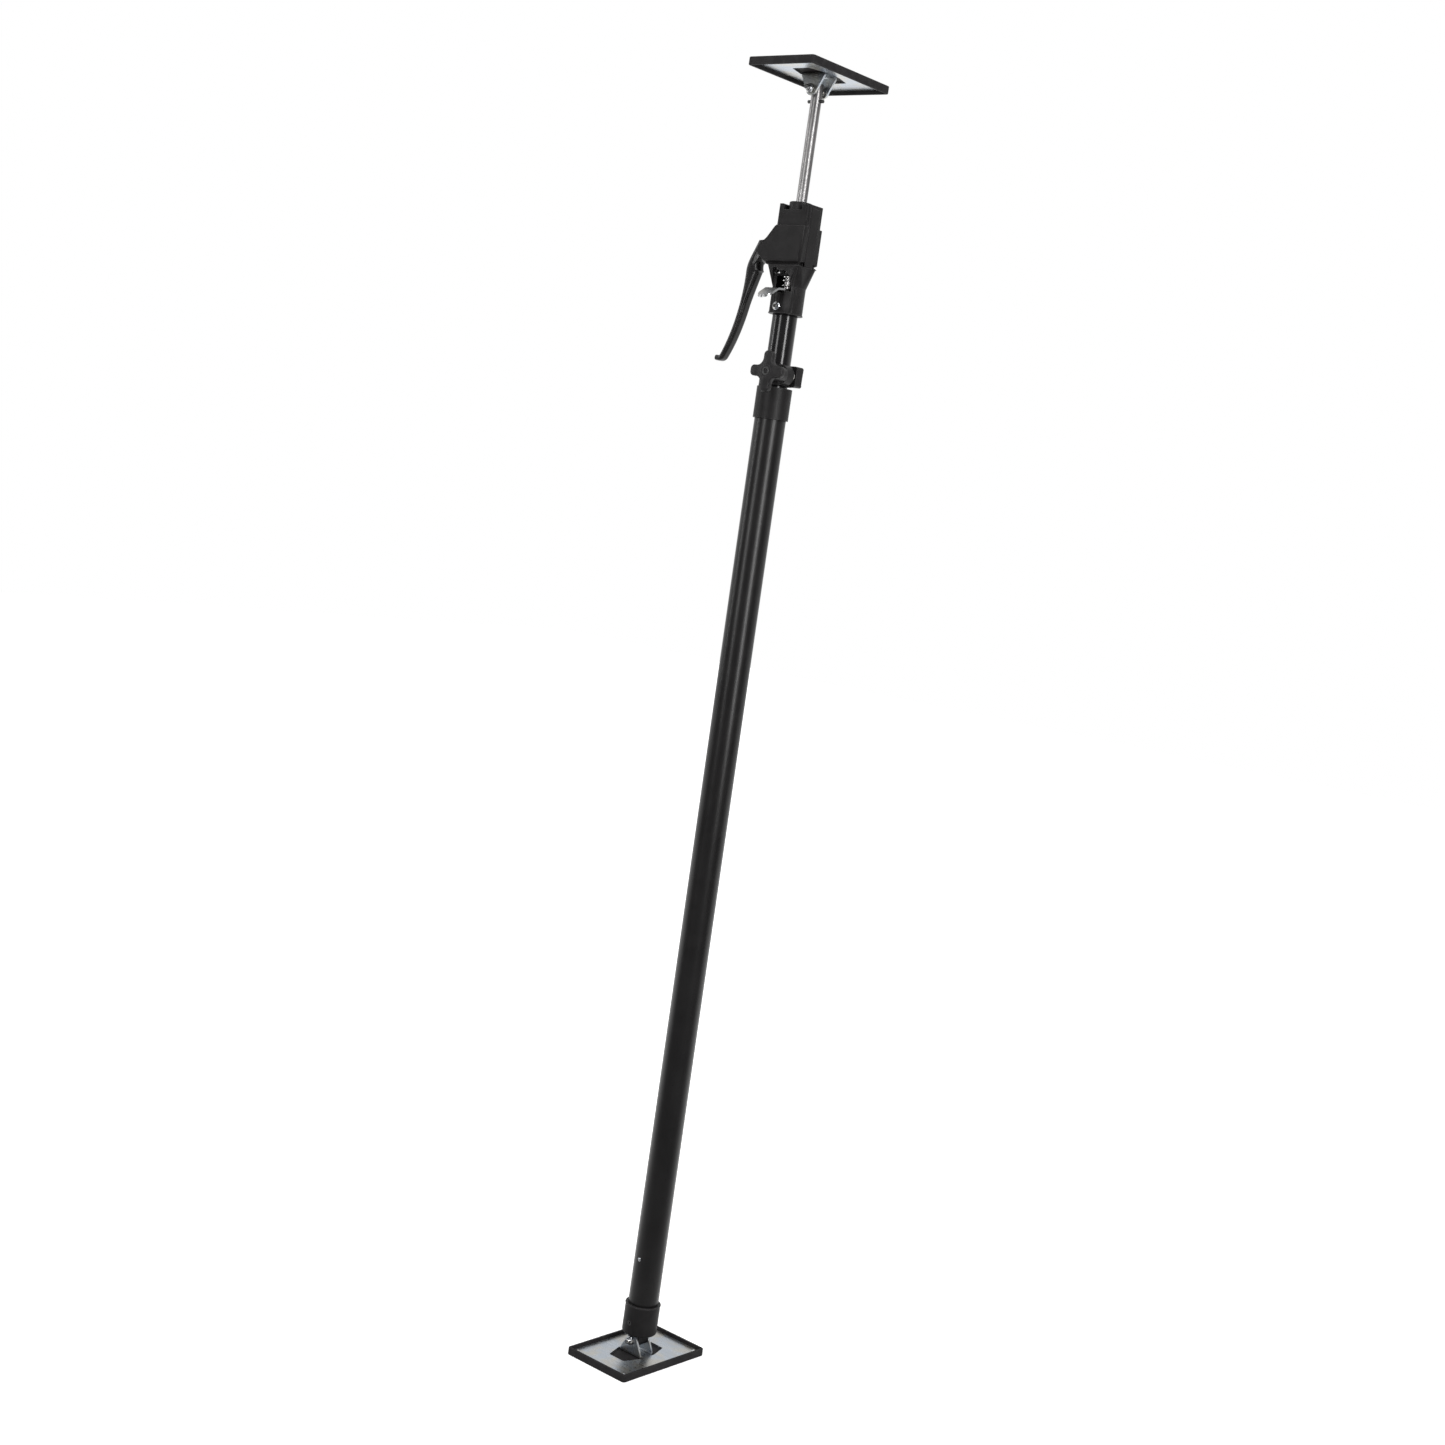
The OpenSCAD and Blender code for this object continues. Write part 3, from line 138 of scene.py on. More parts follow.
FINISHES: dict[Slot, Finish] = {
    Slot.RUBBER_PAD: Finish(
        (0.010, 0.0092, 0.0098), (0.015, 0.0142, 0.0146), gloss=(0.6, 0.8), specular=0.15, grain=1400.0,
        relief=0.10, blotch=60.0, rubbed=0.25, painted_edge_highlight_colour=(0.055, 0.053, 0.054)),
    Slot.ZINC_PLATE: Finish(
        (0.42, 0.46, 0.51), (0.47, 0.455, 0.41), metallic=0.95, gloss=(0.20, 0.30), grain=700.0, relief=0.02,
        blotch=45.0, streak_stretch=(14.0, 420.0, 420.0), streaks=0.45, rubbed=0.5,
        painted_edge_highlight_colour=(0.80, 0.82, 0.84)),
    Slot.ZINC_FASTENER: Finish(
        (0.33, 0.35, 0.38), (0.42, 0.40, 0.36), metallic=1.0, gloss=(0.14, 0.26), grain=900.0, relief=0.02,
        blotch=90.0, rubbed=0.4, painted_edge_highlight_colour=(0.8, 0.8, 0.82)),
    Slot.BLACK_CASTING: Finish(
        (0.006, 0.0056, 0.0058), (0.009, 0.0084, 0.0087), gloss=(0.38, 0.52), specular=0.16, grain=1100.0,
        relief=0.12, blotch=50.0, rubbed=0.4, painted_edge_highlight_colour=(0.085, 0.082, 0.085)),
    Slot.BLACK_LEVER: Finish(
        (0.006, 0.0056, 0.0058), (0.009, 0.0084, 0.0087), gloss=(0.22, 0.32), specular=0.26, grain=1000.0,
        relief=0.006, blotch=50.0, rubbed=0.3, painted_edge_highlight_colour=(0.08, 0.078, 0.08)),
    Slot.BLACK_TUBE: Finish(
        (0.0055, 0.0052, 0.0054), (0.0075, 0.0071, 0.0073), gloss=(0.26, 0.34), specular=0.22, grain=900.0,
        relief=0.012, blotch=25.0, streak_stretch=(320.0, 320.0, 4.0), streaks=0.12),
    Slot.BLACK_KNOB: Finish(
        (0.008, 0.0076, 0.0080), (0.012, 0.0113, 0.0117), gloss=(0.36, 0.5), specular=0.2, grain=1600.0,
        relief=0.06, blotch=80.0, rubbed=0.2, painted_edge_highlight_colour=(0.07, 0.068, 0.07)),
    Slot.BLACK_BUSH: Finish(
        (0.018, 0.018, 0.018), (0.03, 0.03, 0.03), gloss=(0.4, 0.5), grain=900.0, relief=0.04),
    Slot.STEEL_PLATE: Finish(
        (0.33, 0.335, 0.34), (0.40, 0.39, 0.37), metallic=1.0, gloss=(0.22, 0.34), grain=800.0, relief=0.02,
        streak_stretch=(420.0, 18.0, 420.0), streaks=0.3, rubbed=0.3, painted_edge_highlight_colour=(0.85, 0.85, 0.86)),
    Slot.SPRING_WIRE: Finish(
        (0.50, 0.51, 0.52), (0.42, 0.42, 0.41), metallic=1.0, gloss=(0.16, 0.28), grain=1800.0, relief=0.02,
        blotch=120.0),
    # Bright rod: its strong dark streaks are painted dark reflections running along it.
    Slot.BRIGHT_ROD: Finish(
        (0.46, 0.45, 0.45), (0.36, 0.35, 0.35), metallic=1.0, gloss=(0.2, 0.28), grain=1500.0, relief=0.01,
        blotch=30.0, streak_stretch=(420.0, 420.0, 6.0), streaks=1.0, streak_and_reflection_shade=0.22),
    Slot.BLACK_PIN: Finish(
        (0.02, 0.02, 0.02), (0.03, 0.03, 0.03), metallic=0.3, gloss=(0.35, 0.5), grain=1200.0, relief=0.04,
        rubbed=0.3),
}

GLOSSY_TUBE = Finish(
    (0.0055, 0.0052, 0.0056), (0.007, 0.0067, 0.0071), gloss=(0.13, 0.18), specular=0.3, grain=900.0,
    relief=0.006, blotch=25.0, streak_stretch=(320.0, 320.0, 4.0), streaks=0.12)
DARK_METAL = FINISHES[Slot.BLACK_PIN]


class NodeTree:
    """Short way to add and join nodes in one tree."""

    def __init__(self, tree: bpy.types.NodeTree) -> None:
        """Keeps the tree that the nodes go into."""
        self.tree = tree

    def find(self, kind: str) -> bpy.types.Node:
        """Finds the tree's first node of a Blender type."""
        return next(node for node in self.tree.nodes if node.bl_idname == kind)

    def feed(self, target: Socket, value: Value) -> None:
        """Leads a socket into the target, or writes a plain value into it.

        Args:
            target: the socket that receives it.
            value: another socket, a number or a tuple.
        """
        if isinstance(value, Socket):
            self.tree.links.new(value, target)
        else:
            target.default_value = value

    def add(self, kind: str, label: str = "", inputs: dict[str | int, Value] | None = None,
            **settings: object) -> bpy.types.Node:
        """Adds a node.

        Args:
            kind: the node's Blender type.
            label: plain words for what it does.
            inputs: what feeds its inputs, by name or number.
            settings: properties of the node itself.

        Returns:
            The new node.
        """
        node = self.tree.nodes.new(kind)
        node.label = label
        for name, setting in settings.items():
            setattr(node, name, setting)
        for name, value in (inputs or {}).items():
            self.feed(node.inputs[name], value)
        return node

    def place(self, output: str = "Object") -> Socket:
        """Gives a point's place in the object's own coordinates, or another coordinate output."""
        return self.add("ShaderNodeTexCoord", "place").outputs[output]

    def maths(self, operation: str, first: Value, second: Value, clamp: bool = False) -> Socket:
        """Adds a sum of two values and returns its result socket."""
        node = self.add("ShaderNodeMath", inputs={0: first, 1: second}, operation=operation, use_clamp=clamp)
        return node.outputs[0]

    def vectors(self, operation: str, label: str, *values: Value) -> Socket:
        """Adds a node that works on vectors and returns its result: a vector for MULTIPLY, else a value."""
        node = self.add("ShaderNodeVectorMath", label, dict(enumerate(values)), operation=operation)
        return node.outputs["Vector" if operation == "MULTIPLY" else "Value"]

    def mix(self, share: Value, first: Value, second: Value) -> Socket:
        """Mixes two colours.

        Args:
            share: how much of the second colour is taken.
            first: one colour, a socket or red, green and blue.
            second: the other colour.

        Returns:
            The result socket.
        """
        first, second = ((*side, 1.0) if isinstance(side, tuple) else side for side in (first, second))
        node = self.add("ShaderNodeMix", inputs={0: share, 6: first, 7: second}, data_type="RGBA")
        return node.outputs[2]

    def noise(self, label: str, place: Value, scale: Value, detail: float, **more: float) -> Socket:
        """Adds a noise over a place, with more inputs by name, and returns its value from 0 to 1."""
        inputs = {"Vector": place, "Scale": scale, "Detail": detail, **more}
        return self.add("ShaderNodeTexNoise", label, inputs).outputs["Fac"]

    def spread(self, label: str, value: Value, span: tuple[float, float],
               onto: tuple[Value, Value] = (0.0, 1.0), kind: str = "LINEAR") -> Socket:
        """Carries a value from one span to another, cut off at both ends.

        Args:
            label: plain words for what it does.
            value: the value.
            span: where it comes from.
            onto: where it goes.
            kind: Blender's name of the curve.

        Returns:
            The result socket.
        """
        names = ("Value", "From Min", "From Max", "To Min", "To Max")
        inputs = dict(zip(names, (value, *span, *onto)))
        return self.add("ShaderNodeMapRange", label, inputs, interpolation_type=kind).outputs[0]


class Workshop:
    """Builds the shared effects and one material for each finish.

    A span is the stretch of an effect's own values that is spread over its whole range.
    """

    FINER = 4.0
    PITS, DUST = 0.75, 0.25
    RELIEF_SPAN = (0.35, 0.65)
    CLOUD_SPAN = (0.36, 0.66)
    STREAK_SPAN = (0.3, 0.7)
    EDGE_SPAN = (0.995, 0.90)
    HIGHLIGHT_BREAKUP_SCALE = 260.0
    EDGE_RADIUS = 0.8 * MM
    EDGE_GAIN = 2.0
    STREAK_ROUGHNESS = 0.25
    RELIEF_DEPTH = 0.3 * MM

    def __init__(self) -> None:
        """Builds the shared node groups once."""
        self.materials: dict[Finish, bpy.types.Material] = {}
        self.grain = self._grain()
        self.blotches = self._blotches()
        self.streaks = self._streaks()
        self.rubbed = self._rubbed_edges()

    @staticmethod
    def _group(name: str, inputs: Sequence[str],
               outputs: Sequence[str]) -> tuple[NodeTree, bpy.types.NodeOutputs, bpy.types.NodeInputs]:
        """Makes an empty node group.

        Args:
            name: the effect's name.
            inputs: names of the inputs: Vector and Stretch are vectors, and the others plain values.
            outputs: names of the outputs, which are plain values.

        Returns:
            The group's tree, the sockets that it is given, and the sockets for its results.
        """
        tree = bpy.data.node_groups.new(name, "ShaderNodeTree")
        for label in inputs:
            kind = "NodeSocketVector" if label in ("Vector", "Stretch") else "NodeSocketFloat"
            tree.interface.new_socket(label, in_out="INPUT", socket_type=kind)
        for label in outputs:
            tree.interface.new_socket(label, in_out="OUTPUT", socket_type="NodeSocketFloat")
        nodes = NodeTree(tree)
        start, end = nodes.add("NodeGroupInput", "inputs"), nodes.add("NodeGroupOutput", "results")
        return nodes, start.outputs, end.inputs

    def _grain(self) -> bpy.types.NodeTree:
        """Fine relief: a noise over small cells, with a second one of finer cells on top.

        Returns:
            The group.
        """
        inputs = ("Vector", "Scale", "Low", "High")
        nodes, given, result = self._group("fine_grain", inputs, ("Value", "Height"))
        pits = nodes.noise("pits", given["Vector"], given["Scale"], 3.0)
        dust = nodes.noise("dust", given["Vector"], nodes.maths("MULTIPLY", given["Scale"], self.FINER), 2.0)
        height = nodes.maths("ADD", nodes.maths("MULTIPLY", pits, self.PITS),
                             nodes.maths("MULTIPLY", dust, self.DUST))
        rough = nodes.spread("roughness from relief", height, self.RELIEF_SPAN, (given["Low"], given["High"]))
        nodes.feed(result["Value"], rough)
        nodes.feed(result["Height"], height)
        return nodes.tree

    def _blotches(self) -> bpy.types.NodeTree:
        """Soft cloudy mask for changes of colour over centimetres.

        Returns:
            The group.
        """
        nodes, given, result = self._group("soft_blotches", ("Vector", "Scale"), ("Mask",))
        clouds = nodes.noise("clouds", given["Vector"], given["Scale"], 4.0, Distortion=0.6)
        nodes.feed(result["Mask"], nodes.spread("spread", clouds, self.CLOUD_SPAN, kind="SMOOTHSTEP"))
        return nodes.tree

    def _streaks(self) -> bpy.types.NodeTree:
        """Lines that run one way: a noise on coordinates stretched by a different amount on each axis.

        Returns:
            The group.
        """
        nodes, given, result = self._group("streaks", ("Vector", "Stretch"), ("Mask",))
        scaled = nodes.vectors("MULTIPLY", "stretch", given["Vector"], given["Stretch"])
        lines = nodes.noise("lines", scaled, 1.0, 5.0, Roughness=0.65)
        nodes.feed(result["Mask"], nodes.spread("spread", lines, self.STREAK_SPAN))
        return nodes.tree

    def _rubbed_edges(self) -> bpy.types.NodeTree:
        """Mask of a painted highlight along sharp edges: where the softly rounded normal leaves the true one,
        broken up by noise.

        Returns:
            The group.
        """
        nodes, given, result = self._group("painted_edge_highlights", ("Vector", "Radius", "Amount"), ("Mask",))
        soft = nodes.add("ShaderNodeBevel", "rounded normal", {"Radius": given["Radius"]}, samples=4)
        true = nodes.add("ShaderNodeNewGeometry", "true normal")
        agreement = nodes.vectors("DOT_PRODUCT", "agreement", soft.outputs["Normal"], true.outputs["Normal"])
        edge = nodes.spread("edge", agreement, self.EDGE_SPAN)
        highlight_breakup = nodes.noise("highlight_breakup", given["Vector"], self.HIGHLIGHT_BREAKUP_SCALE, 3.0)
        broken = nodes.maths("MULTIPLY", edge, highlight_breakup)
        nodes.feed(result["Mask"], nodes.maths("MULTIPLY", broken, given["Amount"], clamp=True))
        return nodes.tree

    def material(self, slot: Slot, finish: Finish | None = None) -> bpy.types.Material:
        """Gives the one material of a finish, and builds it on first use.

        Args:
            slot: the record's slot.
            finish: a finish other than the slot's usual one.

        Returns:
            The material.
        """
        wanted = finish or FINISHES[slot]
        if wanted not in self.materials:
            self.materials[wanted] = self._build(slot.value, wanted)
        return self.materials[wanted]

    def _build(self, name: str, finish: Finish) -> bpy.types.Material:
        """Builds a material: two close colours in blotches, streaks, painted edge highlights, grain in gloss
        and relief.

        Args:
            name: the material's name.
            finish: its numbers.

        Returns:
            The new material.
        """
        material = bpy.data.materials.new(name)
        material.use_nodes = True
        nodes = NodeTree(material.node_tree)
        place = nodes.place()

        def effect(group: bpy.types.NodeTree, **values: Value) -> bpy.types.NodeOutputs:
            """Places a shared effect with its own values and returns its results."""
            inputs = {"Vector": place, **values}
            return nodes.add("ShaderNodeGroup", group.name, inputs, node_tree=group).outputs

        colour = nodes.mix(effect(self.blotches, Scale=finish.blotch)["Mask"], finish.colour, finish.tint)
        grain = effect(self.grain, Scale=finish.grain, Low=finish.gloss[0], High=finish.gloss[1])
        rough = grain["Value"]
        # Streaks darken the colour along lines; on the bright rod they are painted dark reflections.
        if finish.streaks:
            lines = effect(self.streaks, Stretch=finish.streak_stretch)["Mask"]
            streak_and_reflection_shade = tuple(finish.streak_and_reflection_shade * part for part in finish.colour)
            colour = nodes.mix(nodes.maths("MULTIPLY", lines, finish.streaks), colour, streak_and_reflection_shade)
            rougher = nodes.maths("MULTIPLY", lines, self.STREAK_ROUGHNESS * finish.streaks)
            rough = nodes.maths("ADD", rough, rougher)
        # Painted highlight: a lighter colour along sharp edges, broken up by noise.
        if finish.rubbed:
            highlit_edges = effect(self.rubbed, Radius=self.EDGE_RADIUS, Amount=self.EDGE_GAIN * finish.rubbed)["Mask"]
            colour = nodes.mix(highlit_edges, colour, finish.painted_edge_highlight_colour)
        relief = nodes.add("ShaderNodeBump", "relief", {
            "Strength": finish.relief, "Distance": self.RELIEF_DEPTH, "Height": grain["Height"]})
        shader = nodes.find("ShaderNodeBsdfPrincipled")
        for socket, value in (("Base Color", colour), ("Roughness", rough), ("Metallic", finish.metallic),
                              ("Specular IOR Level", finish.specular), ("Normal", relief.outputs["Normal"])):
            nodes.feed(shader.inputs[socket], value)
        return material


@dataclass(frozen=True)
class Home:
    """Where a piece belongs: the CAD node that it stands for, its body and its record slot.

    A finish of its own takes the place of the slot's usual one.
    """

    node: str
    body: Body
    slot: Slot
    finish: Finish | None = None


@dataclass
class Skin:
    """Points in millimetres, and arrays of faces that share them."""

    points: np.ndarray
    faces: list[np.ndarray]

    def laid(self, lay: Lay, x: float = 0.0, y: float = 0.0, z: float = 0.0) -> "Skin":
        """Turns the shape's length along lay and moves its origin to x, y, z."""
        return Skin(self.points @ np.array(lay.value, float).T + np.array((x, y, z)), self.faces)

    def flipped(self, total: float) -> "Skin":
        """Mirrors the shape from the floor to the ceiling end, where total is the sum of the two heights."""
        return Skin(self.points * np.array((1.0, 1.0, -1.0)) + np.array((0.0, 0.0, total)), self.faces)

    def outward(self) -> "Skin":
        """Turns the faces out: the signed volume over all faces, as fans from their first point, is positive.

        Returns:
            The same shape, with its faces reversed if they pointed inwards.
        """
        volume = 0.0
        for block in self.faces:
            corners = self.points[block]
            crossed = np.cross(corners[:, 1:-1], corners[:, 2:])
            volume += float(np.sum(corners[:, :1] * crossed))
        return self if volume >= 0 else Skin(self.points, [block[:, ::-1] for block in self.faces])


def joined(shapes: Sequence[Skin]) -> Skin:
    """Joins closed shapes into one skin that keeps each of them whole, with its faces outward.

    Args:
        shapes: the closed shapes.

    Returns:
        The skin.
    """
    shapes = [shape.outward() for shape in shapes]
    starts = np.cumsum([0] + [len(shape.points) for shape in shapes[:-1]])
    faces = [block + start for shape, start in zip(shapes, starts) for block in shape.faces]
    return Skin(np.vstack([shape.points for shape in shapes]), faces)


def ring_skin(rings: np.ndarray, endless: bool = False) -> Skin:
    """Skin over rings of equal length: point k of ring i joins point k + 1 and the same two of ring i + 1.

    Args:
        rings: array of rings, points and coordinates.
        endless: whether the last ring joins the first, as in a hollow ring. If not, the end rings are filled.

    Returns:
        The closed skin.
    """
    count, around = rings.shape[:2]
    i, k = np.meshgrid(np.arange(count if endless else count - 1), np.arange(around), indexing="ij")
    below, above = i * around, ((i + 1) % count) * around
    beside = (k + 1) % around
    faces = [np.stack([below + k, above + k, above + beside, below + beside], axis=-1).reshape(-1, 4)]
    if not endless:
        ring = np.arange(around)
        faces += [ring[None, :], ((count - 1) * around + ring)[None, ::-1]]
    return Skin(rings.reshape(-1, 3).astype(float), faces)


def arcs(before: np.ndarray, corner: np.ndarray, after: np.ndarray, radius: Radii, steps: int) -> np.ndarray:
    """Arc in place of each corner.

    The arc's centre lies on the corner's bisector, radius / sin(half the corner) away, and its ends touch
    both edges at radius / tan(half the corner) from the corner.

    Args:
        before: point before each corner.
        corner: the corners.
        after: point after each corner.
        radius: one radius, or one for each corner.
        steps: pieces of each arc.

    Returns:
        The arcs' points in order.
    """
    least, nearly_flat = 0.02, 0.99999
    r = np.broadcast_to(np.maximum(np.asarray(radius, float), least), len(corner))[:, None]
    back, ahead = (unit(side - corner) for side in (before, after))
    cosine = np.clip(np.sum(back * ahead, axis=1), -nearly_flat, nearly_flat)
    half = 0.5 * np.arccos(cosine)[:, None]
    centre = corner + unit(back + ahead) * r / np.sin(half)
    start, end = (corner + side * r / np.tan(half) - centre for side in (back, ahead))
    turn = (np.pi - 2 * half)[:, None, :]
    share = np.linspace(0, 1, steps + 1)[None, :, None]
    swing = np.sin((1 - share) * turn) * start[:, None] + np.sin(share * turn) * end[:, None]
    return (centre[:, None] + swing / np.sin(turn)).reshape(-1, 2)


def unit(ways: np.ndarray) -> np.ndarray:
    """Rows of an array, each divided by its length, or by a very small number where it has none."""
    return ways / np.maximum(np.linalg.norm(ways, axis=1, keepdims=True), 1e-9)


def rounded_loop(corners: Sequence[Sequence[float]], radius: Radii, steps: int = 5) -> np.ndarray:
    """Closed outline through corners, each rounded by an arc."""
    loop = np.asarray(corners, float)
    return arcs(np.roll(loop, 1, axis=0), loop, np.roll(loop, -1, axis=0), radius, steps)


def rounded_line(points: Sequence[Sequence[float]], radius: Radii, steps: int = 4) -> np.ndarray:
    """Open line through points, each inner one rounded by an arc."""
    line = np.asarray(points, float)
    return np.vstack([line[:1], arcs(line[:-2], line[1:-1], line[2:], radius, steps), line[-1:]])


def inset(outline: np.ndarray, depth: float) -> np.ndarray:
    """Moves an outline inwards along its corners' bisectors, lengthened so that each edge moves by depth.

    At a very sharp corner the bisector is at most doubled.

    Args:
        outline: closed outline in x and y.
        depth: how far each edge moves.

    Returns:
        The smaller outline.
    """
    following = np.roll(outline, -1, axis=0)
    area = np.sum(outline[:, 0] * following[:, 1] - following[:, 0] * outline[:, 1])
    edge = unit(following - outline)
    normal = np.sign(area) * np.stack([-edge[:, 1], edge[:, 0]], axis=1)
    bisector = unit(normal + np.roll(normal, 1, axis=0))
    least_cosine = 0.5
    stretch = 1 / np.maximum(np.sum(bisector * normal, axis=1, keepdims=True), least_cosine)
    return outline + depth * bisector * stretch


def stack(outline: np.ndarray, levels: Sequence[tuple[float, float]]) -> Skin:
    """Layers of one outline, each set in by its own depth at its own height, with both ends filled."""
    rings = [np.insert(inset(outline, depth), 2, height, axis=1) for depth, height in levels]
    return ring_skin(np.array(rings))


def slab(outline: np.ndarray, low: float, high: float, rim: float, steps: int = 3) -> Skin:
    """Plate of one outline between two heights, whose two rims follow a quarter circle.

    Args:
        outline: closed outline in x and y.
        low: lower face.
        high: upper face.
        rim: radius of the quarter circle.
        steps: pieces of the quarter circle.

    Returns:
        The closed skin.
    """
    angle = np.linspace(0, np.pi / 2, steps + 1)
    under = zip(rim * (1 - np.sin(angle)), low + rim * (1 - np.cos(angle)))
    over = zip(rim * (1 - np.cos(angle)), high - rim * (1 - np.sin(angle)))
    return stack(outline, [*under, *over])


def round_steps(sides: int) -> np.ndarray:
    """Angles of equal steps once round."""
    return np.arange(sides) * TURN / sides


def six_flats(angle: np.ndarray) -> np.ndarray:
    """Hexagon's radius for half width one: one over the cosine of the angle to the nearest flat's middle."""
    return 1 / np.cos(np.mod(angle, TURN / 6) - TURN / 12)


def turned(radius: np.ndarray, angle: np.ndarray, height: np.ndarray, endless: bool = False) -> Skin:
    """Skin of rings round the axis, from the radius, angle and height of each ring's points."""
    rings = np.stack(np.broadcast_arrays(radius * np.cos(angle), radius * np.sin(angle), height), axis=-1)
    return ring_skin(rings, endless)


def lathe(profile: np.ndarray, sides: int = 96, endless: bool = False) -> Skin:
    """Turned shape: each profile point, a radius and a height, goes round. An endless profile is a loop."""
    radius, height = np.asarray(profile, float).T[:, :, None]
    return turned(radius, round_steps(sides), height, endless)


def sleeve(outer: float, inner: float, low: float, high: float, edge: float, sides: int) -> Skin:
    """Hollow turned piece between two diameters and two heights, with its four edges rounded."""
    loop = rounded_loop([(outer / 2, low), (outer / 2, high), (inner / 2, high), (inner / 2, low)], edge, 3)
    return lathe(loop, sides, endless=True)


def bar(diameter: float, low: float, high: float, edge: float, sides: int) -> Skin:
    """Solid turned bar with rounded ends, whose flats end just short of the axis."""
    r, axis = diameter / 2, 0.02
    return lathe(rounded_line([(axis, low), (r, low), (r, high), (axis, high)], edge), sides)


def hexagon(across: float, low: float, high: float, sides: int = 96) -> Skin:
    """Six-sided head or nut with turned chamfers.

    The radius at an angle and a height is the smaller of the flat side's and that of a 30 degree cone at
    each end, which starts at a share of the half width.

    Args:
        across: width across the flats.
        low: lower face.
        high: upper face.
        sides: steps once round.

    Returns:
        The closed skin.
    """
    chamfer_starts = 0.93
    angle = round_steps(sides)
    face = chamfer_starts * across / 2
    slope = np.tan(TURN / 6)
    near = np.linspace(0, (across / 2 / np.cos(TURN / 12) - face) / slope, 6)
    height = np.concatenate([low + near, (high - near)[::-1]])[:, None]
    cone = face + np.minimum(height - low, high - height) * slope
    return turned(np.minimum(across / 2 * six_flats(angle), cone), angle, height)


def thread(diameter: float, low: float, high: float, pitch: float = 1.0, sides: int = 40) -> Skin:
    """Threaded stud: the radius falls and rises once a pitch along a screw line, and the ends are chamfered.

    Args:
        diameter: across the crests.
        low: lower end.
        high: upper end.
        pitch: distance of the crests.
        sides: steps once round.

    Returns:
        The closed skin.
    """
    rings_a_pitch, depth, chamfer = 6, 0.55 * pitch, 0.6 * pitch
    angle = round_steps(sides)
    height = np.linspace(low, high, max(int((high - low) / pitch * rings_a_pitch), 4))[:, None]
    phase = np.mod(height / pitch - angle / TURN, 1.0)
    crests = diameter / 2 - depth * (0.5 - np.abs(phase - 0.5))
    ends = diameter / 2 - chamfer + np.minimum(height - low, high - height)
    return turned(np.minimum(crests, ends), angle, height)


def coil(radius: float, wire: float, low: float, high: float, turns: float, sides: int = 12) -> Skin:
    """Compression spring: a round wire along a helix whose first and last turns lie nearly flat.

    The height rises with the share of the turns that is left after half a turn at each end, eased a little
    by the cubic step.

    Args:
        radius: of the wire's middle line.
        wire: its diameter.
        low: lower end.
        high: upper end.
        turns: number of turns.
        sides: steps round the wire.

    Returns:
        The closed skin.
    """
    steps_a_turn, flat_end, eased = 40, 0.5 / turns, 0.25
    share = np.linspace(0, 1, int(turns * steps_a_turn) + 1)
    climb = np.clip((share - flat_end) / (1 - 2 * flat_end), 0, 1)
    smooth = eased * (3 * climb ** 2 - 2 * climb ** 3) + (1 - eased) * climb
    angle = share * turns * TURN
    line = np.stack([radius * np.cos(angle), radius * np.sin(angle),
                     low + wire / 2 + (high - low - wire) * smooth], axis=-1)
    out = np.stack([np.cos(angle), np.sin(angle), np.zeros_like(angle)], axis=-1)
    up = np.cross(unit(np.gradient(line, axis=0)), out)
    around = round_steps(sides)[None, :, None]
    circle = np.cos(around) * out[:, None] + np.sin(around) * up[:, None]
    return ring_skin(line[:, None] + wire / 2 * circle)


def mark_long_edges(solid: bmesh.types.BMesh, shortest: float, least_turn: float) -> None:
    """Marks the long outer corners of a solid for rounding.

    Args:
        solid: the solid.
        shortest: least length of such a corner in millimetres.
        least_turn: least turn between its faces in degrees.
    """
    weight = solid.edges.layers.float.new("bevel_weight_edge")
    for edge in solid.edges:
        if len(edge.link_faces) == 2 and edge.calc_length() > shortest * MM:
            edge[weight] = float(edge.calc_face_angle_signed(0.0) > np.radians(least_turn))


def span(node: str, axis: int) -> tuple[float, float]:
    """Lowest and highest place of a CAD node along an axis, in millimetres."""
    low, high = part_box(node)
    return low[axis] / MM, high[axis] / MM


